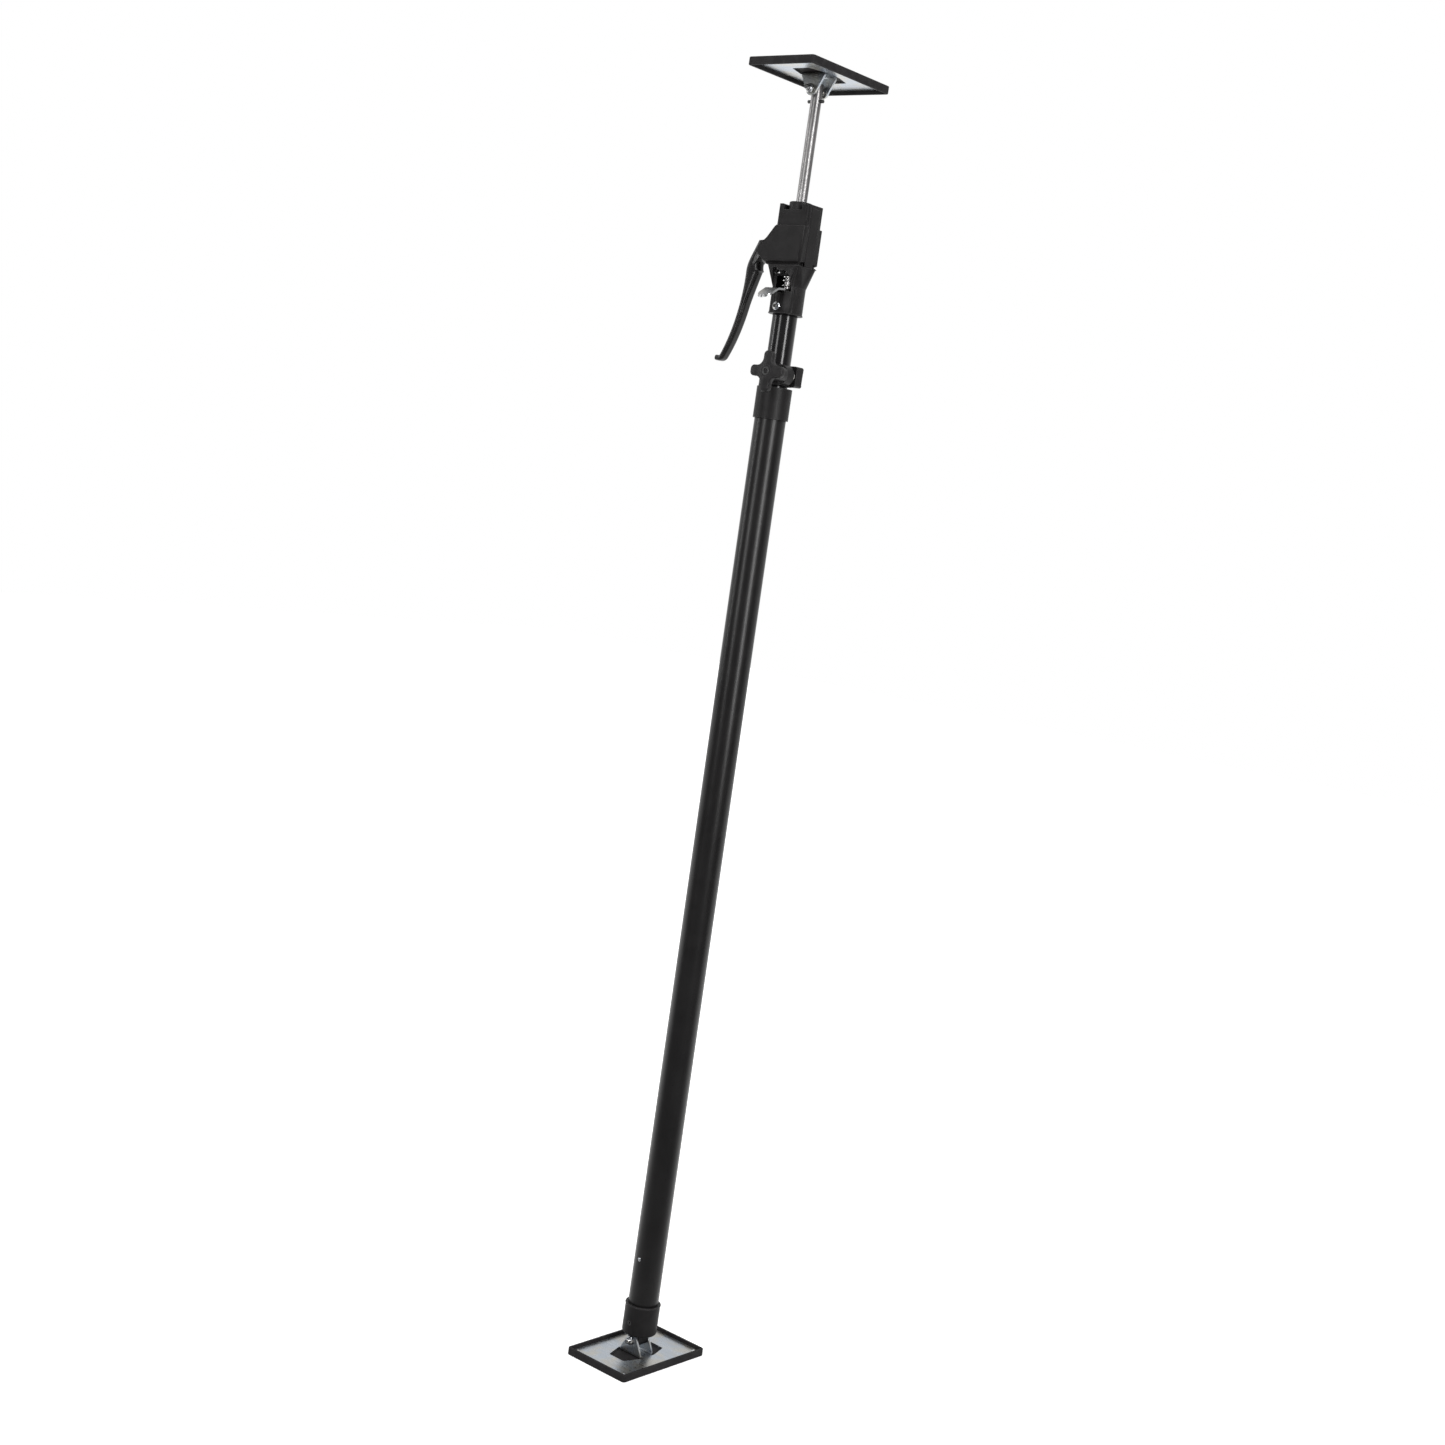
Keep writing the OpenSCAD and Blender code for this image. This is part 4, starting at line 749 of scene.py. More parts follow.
@dataclass
class Assembly:
    """Sub-assembly whose pieces take their finish from one workshop.

    WELD and LONG are lengths in millimetres: corners nearer than WELD become one, and an edge longer than
    LONG counts as long. The rest are turns between two faces in degrees: up to FLAT they are one face, from
    CRISP on they aren't shaded smooth, from SHARP on they are rounded, and from CORNER on where only long
    edges are.
    """

    WELD, LONG = 0.002, 9.0
    FLAT, CRISP, SHARP, CORNER = 1.0, 32.0, 35.0, 50.0

    shop: Workshop

    def make(self, name: str, home: Home, *shapes: Skin) -> bpy.types.Object:
        """Makes one piece of closed shapes.

        Args:
            name: the piece's name.
            home: its CAD node, body and slot.
            shapes: the closed shapes.

        Returns:
            The new object.
        """
        skin = joined(shapes)
        flat = np.concatenate([block.ravel() for block in skin.faces])
        totals = np.concatenate([np.full(len(block), block.shape[1]) for block in skin.faces])
        mesh = bpy.data.meshes.new(name)
        mesh.vertices.add(len(skin.points))
        mesh.vertices.foreach_set("co", (skin.points * MM).astype(np.float32).ravel())
        mesh.loops.add(len(flat))
        mesh.loops.foreach_set("vertex_index", flat.astype(np.int32))
        mesh.polygons.add(len(totals))
        mesh.polygons.foreach_set("loop_start", (np.cumsum(totals) - totals).astype(np.int32))
        mesh.update(calc_edges=True)
        mesh.validate()
        return self._settle(mesh, home)

    def soften(self, name: str, home: Home, radius: float, long_only: bool = False) -> None:
        """Makes a copy of a CAD node's own solid with its sharp edges rounded.

        The solid's cut-outs, folds and cones come from the CAD. The copy's loose triangles are merged, flat
        triangles are joined to whole faces, and a bevel rounds the sharp edges.

        Args:
            name: the new piece's name.
            home: its CAD node, body and slot.
            radius: of the rounding.
            long_only: whether only long outer corners are rounded.
        """
        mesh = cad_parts[home.node].data.copy()
        mesh.name = name
        solid = bmesh.new()
        solid.from_mesh(mesh)
        bmesh.ops.remove_doubles(solid, verts=solid.verts, dist=self.WELD * MM)
        flat = np.radians(self.FLAT)
        bmesh.ops.dissolve_limit(solid, angle_limit=flat, verts=solid.verts, edges=solid.edges)
        if long_only:
            mark_long_edges(solid, self.LONG, self.CORNER)
        solid.to_mesh(mesh)
        solid.free()
        rounding = self._settle(mesh, home).modifiers.new("rounded_edges", "BEVEL")
        rounding.width = radius * MM
        rounding.segments = 3
        rounding.limit_method = "WEIGHT" if long_only else "ANGLE"
        rounding.angle_limit = np.radians(self.SHARP)
        rounding.harden_normals = True
        rounding.use_clamp_overlap = not long_only

    def _settle(self, mesh: bpy.types.Mesh, home: Home) -> bpy.types.Object:
        """Dresses a mesh in its slot's material, ties its object to its body and hides the CAD node that it
        stands for.

        Args:
            mesh: the finished mesh, in place.
            home: its CAD node, body and slot.

        Returns:
            The new object, named as the mesh.
        """
        mesh.polygons.foreach_set("use_smooth", np.ones(len(mesh.polygons), bool))
        mesh.set_sharp_from_angle(angle=np.radians(self.CRISP))
        mesh.materials.clear()
        mesh.materials.append(self.shop.material(home.slot, home.finish))
        thing = bpy.data.objects.new(mesh.name, mesh)
        bpy.context.scene.collection.objects.link(thing)
        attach(thing, home.body.value)
        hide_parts(home.node)
        log.info("%s: %d faces on %s", thing.name, len(mesh.polygons), home.body.value)
        return thing


@dataclass
class TiltPad(Assembly):
    """Rubber-shod pad that tilts on a bolt between two ears, at the foot or at the ceiling end.

    Shapes are worked out for the foot. The ceiling end's are turned over, where total is the sum of the two
    ends' heights. Profiles are radii or depths with their heights.
    """

    end: str
    body: Body
    total: float = 0.0
    length: float = 150.2
    width: float = 97.6
    height: float = 9.5
    floor: float = 2.5
    rim: float = 3.5
    rim_round: float = 1.0
    rim_bend: float = 0.3
    under_edge: Profile = ((1.0, 0.0), (0.3, 0.25), (0.0, 0.9))
    corner: float = 4.0
    plate: float = 2.5
    plate_edge: float = 0.35
    hinge: float = 22.4
    ear_outside: float = 12.0
    rivet_inset: float = 9.5
    rivet_head: Profile = ((0.05, 0.55), (0.9, 0.75), (1.3, 1.1), (2.2, 1.0), (3.0, 0.1), (1.5, -0.3),
                           (0.05, -0.3))
    rivet_edge: float = 0.25
    bolt: float = 6.0
    across_flats: float = 10.0
    head_height: float = 4.0
    stud: float = 10.5
    nut_height: float = 5.0
    nut_collar: Profile = ((4.3, 4.8), (4.3, 6.5), (3.05, 6.5), (3.05, 4.8))
    nut_collar_edges: tuple[float, ...] = (0.1, 0.7, 0.2, 0.1)
    sleeve: tuple[float, float] = (10.0, 6.12)
    sleeve_ends: tuple[float, float] = (6.8, 9.2)

    def build(self) -> None:
        """Builds the pad's tray, plate, rivets, bolt and nut."""
        self._tray()
        home = Home(f"{self.end}_plate", self.body, Slot.ZINC_PLATE)
        self.soften(f"{self.end}_steel_plate", home, self.plate_edge)
        self._rivets()
        self._bolt()

    def _make(self, name: str, part: str, slot: Slot, *shapes: Skin) -> None:
        """Makes one of this end's pieces, turned over for the ceiling end."""
        placed = [shape.flipped(self.total) if self.total else shape for shape in shapes]
        self.make(f"{self.end}_{name}", Home(f"{self.end}_{part}", self.body, slot), *placed)

    def _tray(self) -> None:
        """Rubber tray: one outline carried up the outside, over the round rim and down to the floor."""
        x, y = self.width / 2, self.length / 2
        outline = rounded_loop([(-x, -y), (x, -y), (x, y), (-x, y)], self.corner, steps=6)
        rim, top, far, near = self.rim, self.height, self.rim_round, self.rim_bend
        over = [(0.0, top - far), (near, top - near), (far, top), (rim - far, top), (rim - near, top - near),
                (rim, top - far), (rim, self.floor)]
        self._make("rubber_tray", "rubber_pad", Slot.RUBBER_PAD, stack(outline, [*self.under_edge, *over]))

    def _rivets(self) -> None:
        """Four corner rivets with a small dimple in each head."""
        points = np.array(self.rivet_head) + (0.0, self.floor + self.plate)
        profile = rounded_line(points, self.rivet_edge, steps=3)
        x, y = self.width / 2 - self.rivet_inset, self.length / 2 - self.rivet_inset
        heads = [lathe(profile, sides=32).laid(Lay.UP, sx * x, sy * y) for sx in (-1, 1) for sy in (-1, 1)]
        self._make("corner_rivets", "plate_rivets", Slot.ZINC_FASTENER, *heads)

    def distance_sleeves(self) -> None:
        """Builds the two sleeves that keep the rod's end in the middle between the ears."""
        ring = sleeve(*self.sleeve, *self.sleeve_ends, edge=0.3, sides=56)
        sides = [ring.laid(lay, z=self.hinge) for lay in (Lay.FRONT, Lay.BACK)]
        self._make("distance_sleeves", "spacers", Slot.ZINC_FASTENER, *sides)

    def _bolt(self) -> None:
        """Tilt bolt with its six-sided head at the back, and the locking nut with its collar in front."""
        out, overlap = self.ear_outside, 0.2
        head = hexagon(self.across_flats, out, out + self.head_height).laid(Lay.BACK, z=self.hinge)
        shank = bar(self.bolt, -out - overlap, out + overlap, edge=0.1, sides=40).laid(Lay.BACK, z=self.hinge)
        stud = thread(self.bolt, out + overlap / 2, out + self.stud).laid(Lay.FRONT, z=self.hinge)
        self._make("tilt_bolt", "bolt", Slot.ZINC_FASTENER, head, shank, stud)
        loop = rounded_loop(np.array(self.nut_collar) + (0.0, out), self.nut_collar_edges, steps=4)
        nut = hexagon(self.across_flats, out, out + self.nut_height)
        parts = [part.laid(Lay.FRONT, z=self.hinge) for part in (nut, lathe(loop, sides=48, endless=True))]
        self._make("lock_nut", "nut", Slot.ZINC_FASTENER, *parts)


@dataclass
class Pole(Assembly):
    """Outer tube with its foot collar, set screw and stop rivet.

    The rivet's points are radii with their heights above the tube's skin.
    """

    tube_low: float = 34.0
    tube_high: float = 1213.0
    tube: float = 38.0
    wall: float = 1.5
    rivet_height: float = 128.5
    rivet: Profile = ((0.03, 1.1), (1.6, 1.05), (2.5, 0.4), (2.4, -0.2), (1.5, -0.3), (1.5, -3.1),
                      (0.03, -3.1))
    rivet_edge: float = 0.2

    def build(self) -> None:
        """Builds the collar, the outer tube and their fasteners."""
        self.soften("foot_collar", Home("base_collar", Body.POLE, Slot.BLACK_CASTING), radius=0.5)
        self.soften("collar_set_screw", Home("base_set_screw", Body.POLE, Slot.ZINC_FASTENER, DARK_METAL),
                    radius=0.2)
        tube = sleeve(self.tube, self.tube - 2 * self.wall, self.tube_low, self.tube_high, 0.4, sides=128)
        self.make("outer_steel_tube", Home("outer_tube", Body.POLE, Slot.BLACK_TUBE), tube)
        profile = rounded_line(np.array(self.rivet) + (0.0, self.tube / 2), self.rivet_edge, steps=3)
        self.make("tube_stop_rivet", Home("stop_rivet", Body.POLE, Slot.ZINC_FASTENER),
                  lathe(profile, sides=40).laid(Lay.FRONT, z=self.rivet_height))


@dataclass
class ClampAndKnob(Assembly):
    """Clamp on the outer tube's upper end, and the four-armed knob that pulls its ears together.

    Sleeves give their outer and inner diameter. Depths are from the knob's face.
    """

    bolt_x: float = 21.5
    bolt_z: float = 1228.4
    bolt: float = 6.0
    bolt_end: float = 1.6
    overlap: float = 0.2
    across_flats: float = 10.0
    head_height: float = 4.0
    ear_back: float = 10.5
    washer: tuple[float, float] = (13.0, 6.12)
    washer_thick: float = 1.6
    washer_y: float = -1.9
    back: float = 40.15
    thick: float = 7.3
    rim: float = 1.6
    reach: float = 24.0
    arm: float = 13.0
    arm_corner: float = 5.0
    hollow: float = 9.0
    hub: float = 17.0
    hub_bore: float = 3.3
    hub_long: float = 24.9
    hub_edge: float = 0.8
    ring: tuple[float, float] = (14.8, 9.6)
    ring_depths: tuple[float, float] = (-1.0, 0.35)
    insert: tuple[float, float] = (10.0, 6.12)
    insert_depths: tuple[float, float] = (-13.2, 0.8)

    def build(self) -> None:
        """Builds the clamp, its bolt and washer, the knob and its insert."""
        self.soften("tube_clamp", Home("clamp_collar", Body.POLE, Slot.BLACK_CASTING), radius=1.0,
                    long_only=True)
        face, ear = self.back + self.thick, self.ear_back
        head = self._at_bolt(hexagon(self.across_flats, ear, ear + self.head_height), Lay.BACK)
        stud = self._at_bolt(thread(self.bolt, -ear - self.overlap, face - self.bolt_end))
        self.make("clamp_screw", Home("clamp_bolt", Body.POLE, Slot.ZINC_FASTENER), head, stud)
        washer = sleeve(*self.washer, 0.0, self.washer_thick, edge=0.2, sides=64)
        self.make("clamp_washer_ring", Home("clamp_washer", Body.POLE, Slot.ZINC_FASTENER),
                  washer.laid(Lay.BACK, self.bolt_x, self.washer_y, self.bolt_z))
        self._knob(face)

    def _at_bolt(self, skin: Skin, lay: Lay = Lay.FRONT) -> Skin:
        """Lays a turned shape on the clamp's bolt."""
        return skin.laid(lay, self.bolt_x, 0, self.bolt_z)

    def _knob(self, face: float) -> None:
        """Knob: a star with round arms and hollows and soft rims, on a turned hub, with a pressed-in insert.

        Args:
            face: how far the knob's face stands from the bolt's middle.
        """
        w, far = self.arm / 2, self.reach
        quarter = np.array([(far, -w), (far, w), (w, w)])
        turns = np.array([[(np.cos(a), -np.sin(a)), (np.sin(a), np.cos(a))] for a in round_steps(4)])
        corners = np.einsum("tij,pj->tpi", turns, quarter).reshape(-1, 2)
        star = rounded_loop(corners, [self.arm_corner, self.arm_corner, self.hollow] * 4, steps=8)
        low, high = self.back - self.hub_long, self.back + self.overlap
        line = [(self.hub_bore, low), (self.hub / 2, low), (self.hub / 2, high), (self.hub_bore, high)]
        ring = sleeve(*self.ring, *(face + depth for depth in self.ring_depths), edge=0.25, sides=64)
        hub = lathe(rounded_line(line, self.hub_edge), sides=72)
        parts = (slab(star, self.back, face, self.rim), hub, ring)
        self.make("clamp_star_knob", Home("clamp_knob", Body.KNOB, Slot.BLACK_KNOB),
                  *(self._at_bolt(part) for part in parts))
        insert = sleeve(*self.insert, *(face + depth for depth in self.insert_depths), edge=0.3, sides=64)
        self.make("knob_threaded_insert", Home("knob_insert", Body.KNOB, Slot.ZINC_FASTENER, DARK_METAL),
                  self._at_bolt(insert))


@dataclass
class JackingHead(Assembly):
    """Inner tube, the cast housing on it, the rod guide, screws, pins and the two springs.

    The key screw's heights are from the socket's skin. key_lip gives how far the hole widens at a height,
    and screw_under radii with their heights. A spring has its node, joint, turns and travel.
    """

    tube: float = 30.0
    wall: float = 1.5
    tube_low: float = 191.65
    tube_high: float = 1323.65
    socket: float = 40.0
    screw_z: float = 1307.65
    key_half: float = 2.0
    key_inner: float = 0.3
    key_floor: float = 0.7
    key_lip: Profile = ((0.0, 2.45), (0.2, 2.62))
    dome: float = 6.42
    dome_span: tuple[float, float] = (2.75, 5.3)
    dome_top: float = 2.8
    screw_under: Profile = ((5.25, -0.1), (3.0, -0.15), (3.0, -6.4))
    pin: float = 6.0
    pin_x: float = -33.0
    pin_z: float = 1375.05
    guide: float = 27.6
    guide_low: float = 1421.9
    guide_high: float = 1431.7
    guide_edges: tuple[float, ...] = (0.3, 0.3, 0.3, 0.4, 1.2, 0.6)
    stem: float = 22.0
    stem_low: float = 1407.85
    bore: float = 6.56
    spring: float = 9.0
    wire: float = 2.0
    springs: tuple[tuple[str, str, int, float], ...] = (("drive_spring", "drive_plate_lift", 8, 7.82),
                                                        ("release_spring", "release_press", 3, 1.31))

    def build(self) -> None:
        """Builds the head's pieces."""
        tube = sleeve(self.tube, self.tube - 2 * self.wall, self.tube_low, self.tube_high, 0.4, sides=112)
        self.make("inner_steel_tube", Home("inner_tube", Body.HEAD, Slot.BLACK_TUBE, GLOSSY_TUBE), tube)
        self.soften("tube_guide_bush", Home("inner_tube_bush", Body.HEAD, Slot.BLACK_BUSH), radius=0.3)
        self.soften("cast_housing", Home("housing", Body.HEAD, Slot.BLACK_CASTING), radius=1.5,
                    long_only=True)
        self._guide()
        self._socket_screw()
        self._springs()
        low, high = span("lever_pin", Y)
        self.make("lever_pivot_pin", Home("lever_pin", Body.HEAD, Slot.ZINC_FASTENER),
                  bar(self.pin, -high, -low, edge=0.4, sides=48).laid(Lay.FRONT, self.pin_x, 0, self.pin_z))

    def _guide(self) -> None:
        """Rod guide: a flanged bush whose loop of radii and heights is carried round the rod."""
        bore, stem, flange = self.bore, self.stem / 2, self.guide / 2
        loop = [(bore, self.stem_low), (stem, self.stem_low), (stem, self.guide_low),
                (flange, self.guide_low), (flange, self.guide_high), (bore, self.guide_high)]
        self.make("rod_guide_bush", Home("rod_guide", Body.HEAD, Slot.BLACK_CASTING),
                  lathe(rounded_loop(loop, self.guide_edges, steps=4), endless=True))

    def _socket_screw(self) -> None:
        """Domed screw with a six-sided key hole.

        Rings run out from the hole's floor, up its six-sided wall, over the dome, which is part of a ball,
        and down the shank.
        """
        angle = round_steps(sides=96)
        hole = self.key_half * six_flats(angle)
        rings = [(hole * self.key_inner, self.key_floor), (hole, self.key_floor)]
        rings += [(hole + wider, height) for wider, height in self.key_lip]
        swell = np.linspace(*np.arcsin(np.array(self.dome_span) / self.dome), num=10)
        rings += [(self.dome * np.sin(a), self.dome_top - self.dome * (1 - np.cos(a))) for a in swell]
        rings += self.screw_under
        radius = np.array([np.broadcast_to(one, angle.shape) for one, _ in rings])
        height = np.array([[self.socket / 2 + one] for _, one in rings])
        self.make("socket_key_screw", Home("socket_screw", Body.HEAD, Slot.ZINC_FASTENER),
                  turned(radius, angle, height).laid(Lay.FRONT, z=self.screw_z))

    def _springs(self) -> None:
        """Two compression springs, each a coil that fills its CAD node's height."""
        for node, joint, turns, travel in self.springs:
            low, high = span(node, Z)
            spring = self.make(f"{node}_coil", Home(node, Body.HEAD, Slot.SPRING_WIRE),
                               coil(self.spring, self.wire, low, high, turns))
            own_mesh(spring)


@dataclass
class SqueezeLever(Assembly):
    """Squeeze lever: a curved grip of changing section, its boss on the pin and the forked toe inside.

    The grip's middle line runs through three cubics, whose control points are shares of reach and drop from
    the pin. The web's corners are shares of toe_reach, and the toe's arm is in millimetres from the pin.
    """

    pin_x: float = -33.0
    pin_z: float = 1375.05
    reach: float = 65.0
    drop: float = 132.5
    top_width: float = 17.0
    tip_width: float = 11.0
    top_thick: float = 10.8
    tip_thick: float = 6.6
    root_depth: float = 11.0
    root_starts: float = 0.24
    root_ends: float = 0.47
    root_power: float = 1.5
    tip_starts: float = 0.98
    crown: float = 0.12
    side_shape: float = 0.5
    back_shape: float = 0.8
    bends: tuple[float, float] = (7 / 26, 21 / 26)
    head_shares: Profile = ((-0.2, 0.068), (-0.3, -0.045), (-0.422, -0.12), (-0.422, -0.2))
    grip_shares: Profile = ((-0.422, -0.2), (-0.422, -0.46), (-0.57, -0.76), (-0.815, -0.975))
    curl_shares: Profile = ((-0.815, -0.975), (-0.85, -1.005), (-0.9, -1.0), (-1, -0.995))
    boss: float = 6.7
    boss_edge: float = 0.6
    toe_reach: float = 18.5
    web_shares: Profile = ((-0.5, 0.55), (0, 0.35), (0.3, 0.1), (0.46, -0.35), (0.5, -0.8), (-0.1, -0.55),
                           (-0.48, -0.62), (-0.86, -0.8), (-1.1, -1.1), (-1.25, -0.9), (-0.8, 0.5))
    web_edge: float = 1.2
    full_width: float = 24.4
    fork: float = 7.1
    arm: Profile = ((-3.3, 0), (6.7, 0), (8.3, -15.5), (10.2, -22.2), (18.5, -22.2), (20.6, -23.4),
                    (20.6, -26.0), (18.5, -27.2), (11.1, -27.2), (4.6, -17.3))
    arm_edge: float = 0.4

    def build(self) -> None:
        """Builds the lever as one piece of closed shapes."""
        half, flank = self.full_width / 2, self.top_width / 2
        circle = round_steps(sides=64)[:, None]
        boss = self.boss * np.hstack([np.cos(circle), np.sin(circle)])
        web = rounded_loop(np.array(self.web_shares) * self.toe_reach, radius=0.8, steps=3)
        arm = rounded_loop(self.arm, radius=0.7, steps=3)
        parts = [slab(web, -flank, flank, self.web_edge), slab(boss, -half, half, self.boss_edge),
                 slab(arm, -half, -self.fork, self.arm_edge), slab(arm, self.fork, half, self.arm_edge)]
        laid = [part.laid(Lay.FRONT, self.pin_x, 0, self.pin_z) for part in parts]
        home = Home("squeeze_lever", Body.LEVER, Slot.BLACK_LEVER)
        self.make("squeeze_lever_grip", home, self._grip(), *laid)

    @staticmethod
    def _cubic(shares: Sequence[Sequence[float]], steps: int) -> np.ndarray:
        """Points on a cubic: each control point weighs with its share of t and 1 - t to the third power.

        Args:
            shares: the four control points.
            steps: number of points, the last control point left out.

        Returns:
            The points.
        """
        p = np.asarray(shares, float)
        t = np.linspace(0, 1, steps, endpoint=False)[:, None]
        return (1 - t) ** 3 * p[0] + 3 * t * (1 - t) ** 2 * p[1] + 3 * t * t * (1 - t) * p[2] + t ** 3 * p[3]

    def _grip(self) -> Skin:
        """Grip: a section whose corners follow powers of sine and cosine, carried along the middle line.

        Width and thickness fall evenly from the head to the tip. The section stands a share of its thickness
        further out than the middle line. Its inner side is deeper at the root, and this falls off with a
        power of the way to root_ends. The end of the curl narrows like an ellipse, so the tip is round.

        Returns:
            The closed skin.
        """
        head, grip, curl, around, narrowest = 30, 60, 60, 56, 0.02
        first, last = self.bends
        line = np.vstack([self._cubic(self.head_shares, head), self._cubic(self.grip_shares, grip),
                          self._cubic(self.curl_shares, curl), np.array(self.curl_shares)[-1:]])
        line = line * (self.reach, self.drop) + (self.pin_x, self.pin_z)
        ahead = unit(np.gradient(line, axis=0))
        share = np.concatenate([np.linspace(0, first, head, endpoint=False),
                                np.linspace(first, last, grip, endpoint=False),
                                np.linspace(last, 1, curl + 1)])
        width = (self.top_width + share * (self.tip_width - self.top_width)) / 2
        thick = (self.top_thick + share * (self.tip_thick - self.top_thick)) / 2
        tip = np.clip((share - self.tip_starts) / (1 - self.tip_starts), 0, 1)
        close = np.sqrt(np.clip(1 - tip ** 2, narrowest, 1))
        angle = (np.arange(around) + 0.5) * TURN / around
        across = -np.sign(np.cos(angle)) * np.abs(np.cos(angle)) ** self.side_shape
        out = np.sign(np.sin(angle)) * np.abs(np.sin(angle)) ** self.back_shape
        rise = np.clip(share / self.root_starts, 0, 1)
        fall = np.clip((self.root_ends - share) / (self.root_ends - self.root_starts), 0, 1)
        root = self.root_depth * (rise * fall) ** self.root_power
        y = (width * close)[:, None] * across
        n = (thick * close)[:, None] * (out + self.crown) - root[:, None] * np.clip(-out, 0, 1)
        x, z = line[:, :1] + n * ahead[:, 1:], line[:, 1:] - n * ahead[:, :1]
        return ring_skin(np.stack([x, y, z], axis=-1))


@dataclass
class GripPlates(Assembly):
    """The two steel plates that hold and drive the rod."""

    drive_edge: float = 0.3
    release_edge: float = 0.35

    def build(self) -> None:
        """Builds both plates with broken edges."""
        self.soften("rod_drive_plate", Home("drive_plate", Body.DRIVE, Slot.STEEL_PLATE), self.drive_edge)
        self.soften("release_thumb_plate", Home("release_plate", Body.RELEASE, Slot.STEEL_PLATE),
                    self.release_edge)


@dataclass
class LiftRod(Assembly):
    """Bright rod with its two cross pins."""

    diameter: float = 13.0
    rod_edge: float = 1.0
    pin: float = 4.0
    pin_edge: float = 0.5

    def build(self) -> None:
        """Builds the rod and its pins."""
        self.make("bright_lift_rod", Home("lift_rod", Body.ROD, Slot.BRIGHT_ROD),
                  bar(self.diameter, *span("lift_rod", Z), self.rod_edge, sides=96))
        for node, name, slot in (("rod_stop_pin", "rod_cross_pin", Slot.BLACK_PIN),
                                 ("rod_end_pin", "rod_lower_pin", Slot.ZINC_FASTENER)):
            pin = bar(self.pin, *span(node, X), self.pin_edge, sides=40)
            self.make(name, Home(node, Body.ROD, slot), pin.laid(Lay.SIDE, z=sum(span(node, Z)) / 2))


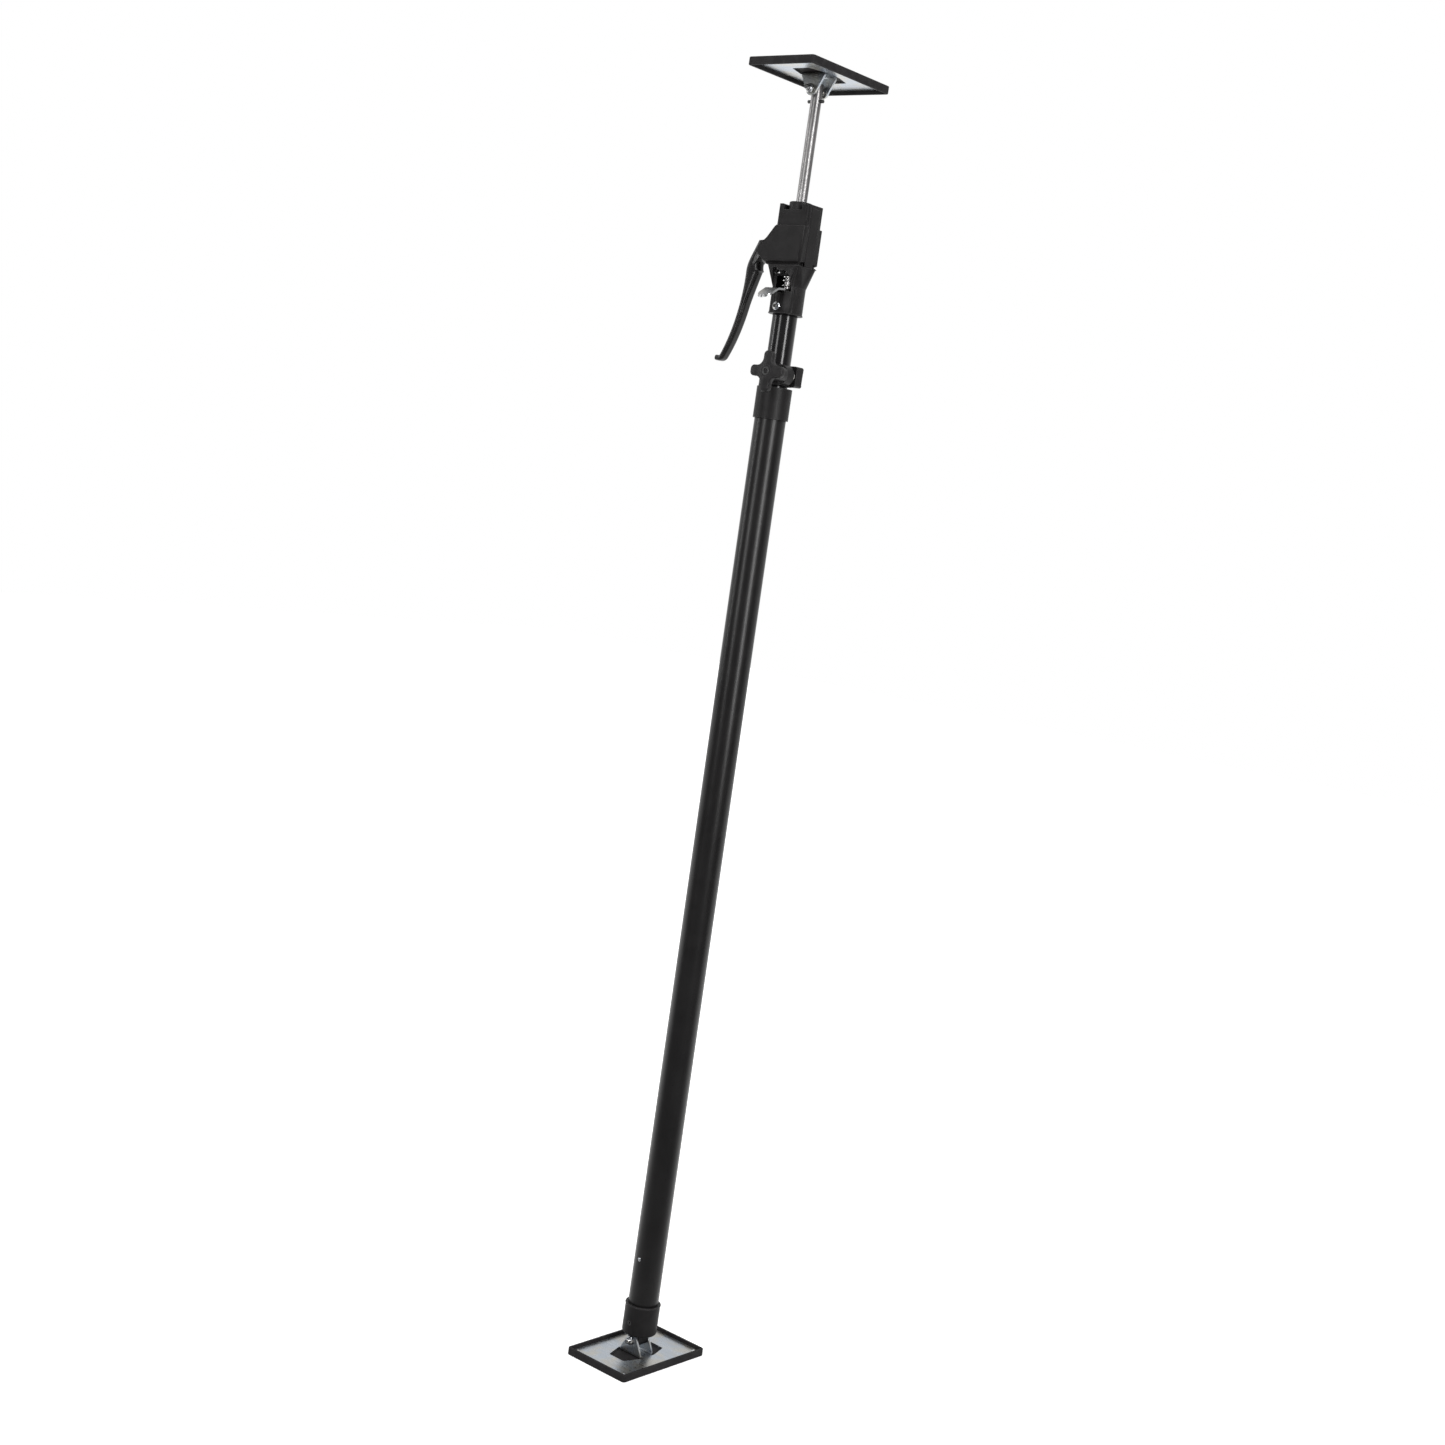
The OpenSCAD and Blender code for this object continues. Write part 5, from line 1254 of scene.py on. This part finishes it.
@dataclass
class Studio:
    """Camera of the photograph, pale floor and soft lamps, in metres and degrees.

    A lamp has its name, bearing, distance, height, size and power.
    """

    eye: Triple = (1.5724, -1.9221, 1.0653)
    azimuth: float = 39.4
    pitch: float = 5.956
    roll: float = 8.175
    lens: float = 51.15
    sensor: float = 36.0
    # Painted dark reflection: the studio's level as mirror-like surfaces see it in front of the object.
    painted_dark_reflection_level: float = 0.12
    daylight: float = 0.45
    backdrop_way: Triple = (-0.635, 0.773, 0.0)
    backdrop_span: tuple[float, float] = (-0.35, 0.30)
    floor_half: float = 9.0
    floor_z: float = -0.0004
    # Painted light: the floor glows for camera and mirror rays, whiter further out from the object.
    glow_span: tuple[float, float] = (0.1, 1.6)
    glow_near: float = 0.42
    # Painted dark: the floor's colour as mirror-like surfaces see it in front of the object.
    floor_painted_dark: float = 0.08
    floor_pale: float = 0.86
    target: Triple = (0.0, 0.0, 0.9)
    lamps: tuple[tuple, ...] = (("key_box", -92.0, 2.6, 1.7, (0.6, 1.6), 26.0),
                                ("fill_box", -19.0, 2.6, 1.6, (0.6, 1.9), 62.0),
                                ("edge_box", -146.0, 2.4, 1.6, (0.22, 1.2), 8.0),
                                ("top_box", -60.0, 1.2, 3.4, (2.0, 2.0), 42.0))

    def build(self) -> None:
        """Sets up the camera, the floor, the world and the lamps."""
        self._camera()
        self._floor()
        self._world()
        self._lamps()
        bpy.context.scene.view_settings.view_transform = "Standard"

    def _camera(self) -> None:
        """Turns the part's frame by the azimuth, tips it by the pitch and rolls it, for the view's axes."""
        turn, tip, roll = np.radians((self.azimuth, self.pitch, self.roll))
        spin = np.array([[np.cos(turn), np.sin(turn), 0], [-np.sin(turn), np.cos(turn), 0], [0, 0, 1]])
        stand = np.array([[1, 0, 0], [0, 0, -1], [0, 1, 0]])
        nod = np.array([[1, 0, 0], [0, np.cos(tip), -np.sin(tip)], [0, np.sin(tip), np.cos(tip)]])
        lean = np.array([[np.cos(roll), -np.sin(roll), 0], [np.sin(roll), np.cos(roll), 0], [0, 0, 1]])
        right, down, ahead = lean @ nod @ stand @ spin
        camera = bpy.data.objects.new("photo_camera", bpy.data.cameras.new("photo_camera"))
        camera.data.lens = self.lens
        camera.data.sensor_width = self.sensor
        camera.data.clip_end = 100.0
        axes = Matrix([[right[i], -down[i], -ahead[i]] for i in range(3)]).to_4x4()
        camera.matrix_world = Matrix.Translation(self.eye) @ axes
        bpy.context.scene.collection.objects.link(camera)
        bpy.context.scene.camera = camera

    @staticmethod
    def _seen(nodes: NodeTree) -> Socket:
        """Mask of what the camera, mirrors and glass see directly.

        Args:
            nodes: the tree that it goes into.

        Returns:
            The mask's socket.
        """
        rays = nodes.add("ShaderNodeLightPath", "rays").outputs
        both = nodes.maths("ADD", rays["Is Camera Ray"], rays["Is Glossy Ray"], clamp=True)
        return nodes.maths("ADD", both, rays["Is Transmission Ray"], clamp=True)

    def _painted_dark_reflection(self, nodes: NodeTree, place: Value) -> Socket:
        """Level of the studio as mirror-like surfaces see it: white behind the object, and a painted dark
        reflection in front of it.

        The share is a smooth step of the part of the place or direction that points away from the camera's
        side. Other rays see the full level.

        Args:
            nodes: the tree that it goes into.
            place: the place or direction.

        Returns:
            The level's socket.
        """
        away = nodes.vectors("DOT_PRODUCT", "share that lies behind the object", place, self.backdrop_way)
        level = nodes.spread("backdrop and room", away, self.backdrop_span, (self.painted_dark_reflection_level - 1.0, 0.0),
                             kind="SMOOTHSTEP")
        glossy = nodes.add("ShaderNodeLightPath", "rays").outputs["Is Glossy Ray"]
        return nodes.maths("ADD", 1.0, nodes.maths("MULTIPLY", level, glossy))

    def _floor(self) -> None:
        """White floor that keeps the object's shadow, with a painted glow whiter further out and painted dark
        in mirrors in front.
        """
        mesh = bpy.data.meshes.new("studio_floor")
        half = self.floor_half
        corners = [(-half, -half, 0), (half, -half, 0), (half, half, 0), (-half, half, 0)]
        mesh.from_pydata(corners, [], [(0, 1, 2, 3)])
        floor = bpy.data.objects.new("studio_floor", mesh)
        floor.location.z = self.floor_z
        bpy.context.scene.collection.objects.link(floor)
        material = bpy.data.materials.new("studio_floor")
        material.use_nodes = True
        nodes = NodeTree(material.node_tree)
        distance = nodes.vectors("LENGTH", "distance from the object", nodes.place())
        glow = nodes.spread("white further out", distance, self.glow_span, (self.glow_near, 1.0),
                            kind="SMOOTHSTEP")
        painted_reflection_dim = self._painted_dark_reflection(nodes, nodes.place())
        lit = nodes.maths("MULTIPLY", nodes.maths("MULTIPLY", self._seen(nodes), glow), painted_reflection_dim)
        base = nodes.mix(painted_reflection_dim, (self.floor_painted_dark,) * 3, (self.floor_pale,) * 3)
        shader = nodes.find("ShaderNodeBsdfPrincipled")
        for socket, value in (("Roughness", 0.9), ("Specular IOR Level", 0.0), ("Base Color", base),
                              ("Emission Color", (1.0, 1.0, 1.0, 1.0)), ("Emission Strength", lit)):
            nodes.feed(shader.inputs[socket], value)
        mesh.materials.append(material)

    def _world(self) -> None:
        """World that looks white and lights the object softly, and that mirrors see painted dark in front of
        the object.
        """
        world = bpy.data.worlds.new("studio_world")
        bpy.context.scene.world = world
        world.use_nodes = True
        nodes = NodeTree(world.node_tree)
        seen = self._seen(nodes)
        painted_reflection_dim = self._painted_dark_reflection(nodes, nodes.place("Generated"))
        unseen = nodes.maths("MULTIPLY", nodes.maths("SUBTRACT", 1.0, seen), self.daylight)
        background = nodes.find("ShaderNodeBackground")
        nodes.feed(background.inputs["Color"], (1.0, 1.0, 1.0, 1.0))
        strength = nodes.maths("ADD", nodes.maths("MULTIPLY", seen, painted_reflection_dim), unseen)
        nodes.feed(background.inputs["Strength"], strength)

    def _lamps(self) -> None:
        """Soft boxes left and right of the camera, a narrow one at the far left, and one overhead."""
        for name, bearing, distance, height, size, power in self.lamps:
            lamp = bpy.data.lights.new(name, "AREA")
            lamp.shape = "RECTANGLE"
            lamp.size, lamp.size_y = size
            lamp.energy = power
            holder = bpy.data.objects.new(name, lamp)
            way = np.radians(bearing)
            holder.location = (distance * np.cos(way), distance * np.sin(way), height)
            aim = Vector(self.target) - holder.location
            holder.rotation_euler = aim.to_track_quat("-Z", "Y").to_euler()
            holder.visible_camera = False
            bpy.context.scene.collection.objects.link(holder)


def dress_cad_nodes(shop: Workshop) -> None:
    """Gives every CAD node the material of its own slot.

    Args:
        shop: gives the materials.
    """
    slots = {slot.value: slot for slot in Slot}
    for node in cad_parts.values():
        for place, old in enumerate(node.data.materials):
            slot = slots.get(old.name.split(".")[0]) if old else None
            if slot:
                node.data.materials[place] = shop.material(slot)


def main() -> None:
    """Builds the studio and every sub-assembly in order."""
    logging.basicConfig(level=logging.INFO, format="%(name)s: %(message)s")
    shop = Workshop()
    Studio().build()
    total = span("foot_rubber_pad", Z)[0] + span("top_rubber_pad", Z)[1]
    top = TiltPad(shop, "top", Body.TOP, total)
    for part in (TiltPad(shop, "foot", Body.FOOT), Pole(shop), ClampAndKnob(shop), JackingHead(shop),
                 SqueezeLever(shop), GripPlates(shop), LiftRod(shop), top):
        part.build()
    top.distance_sleeves()
    dress_cad_nodes(shop)


if __name__ == "__main__":
    main()
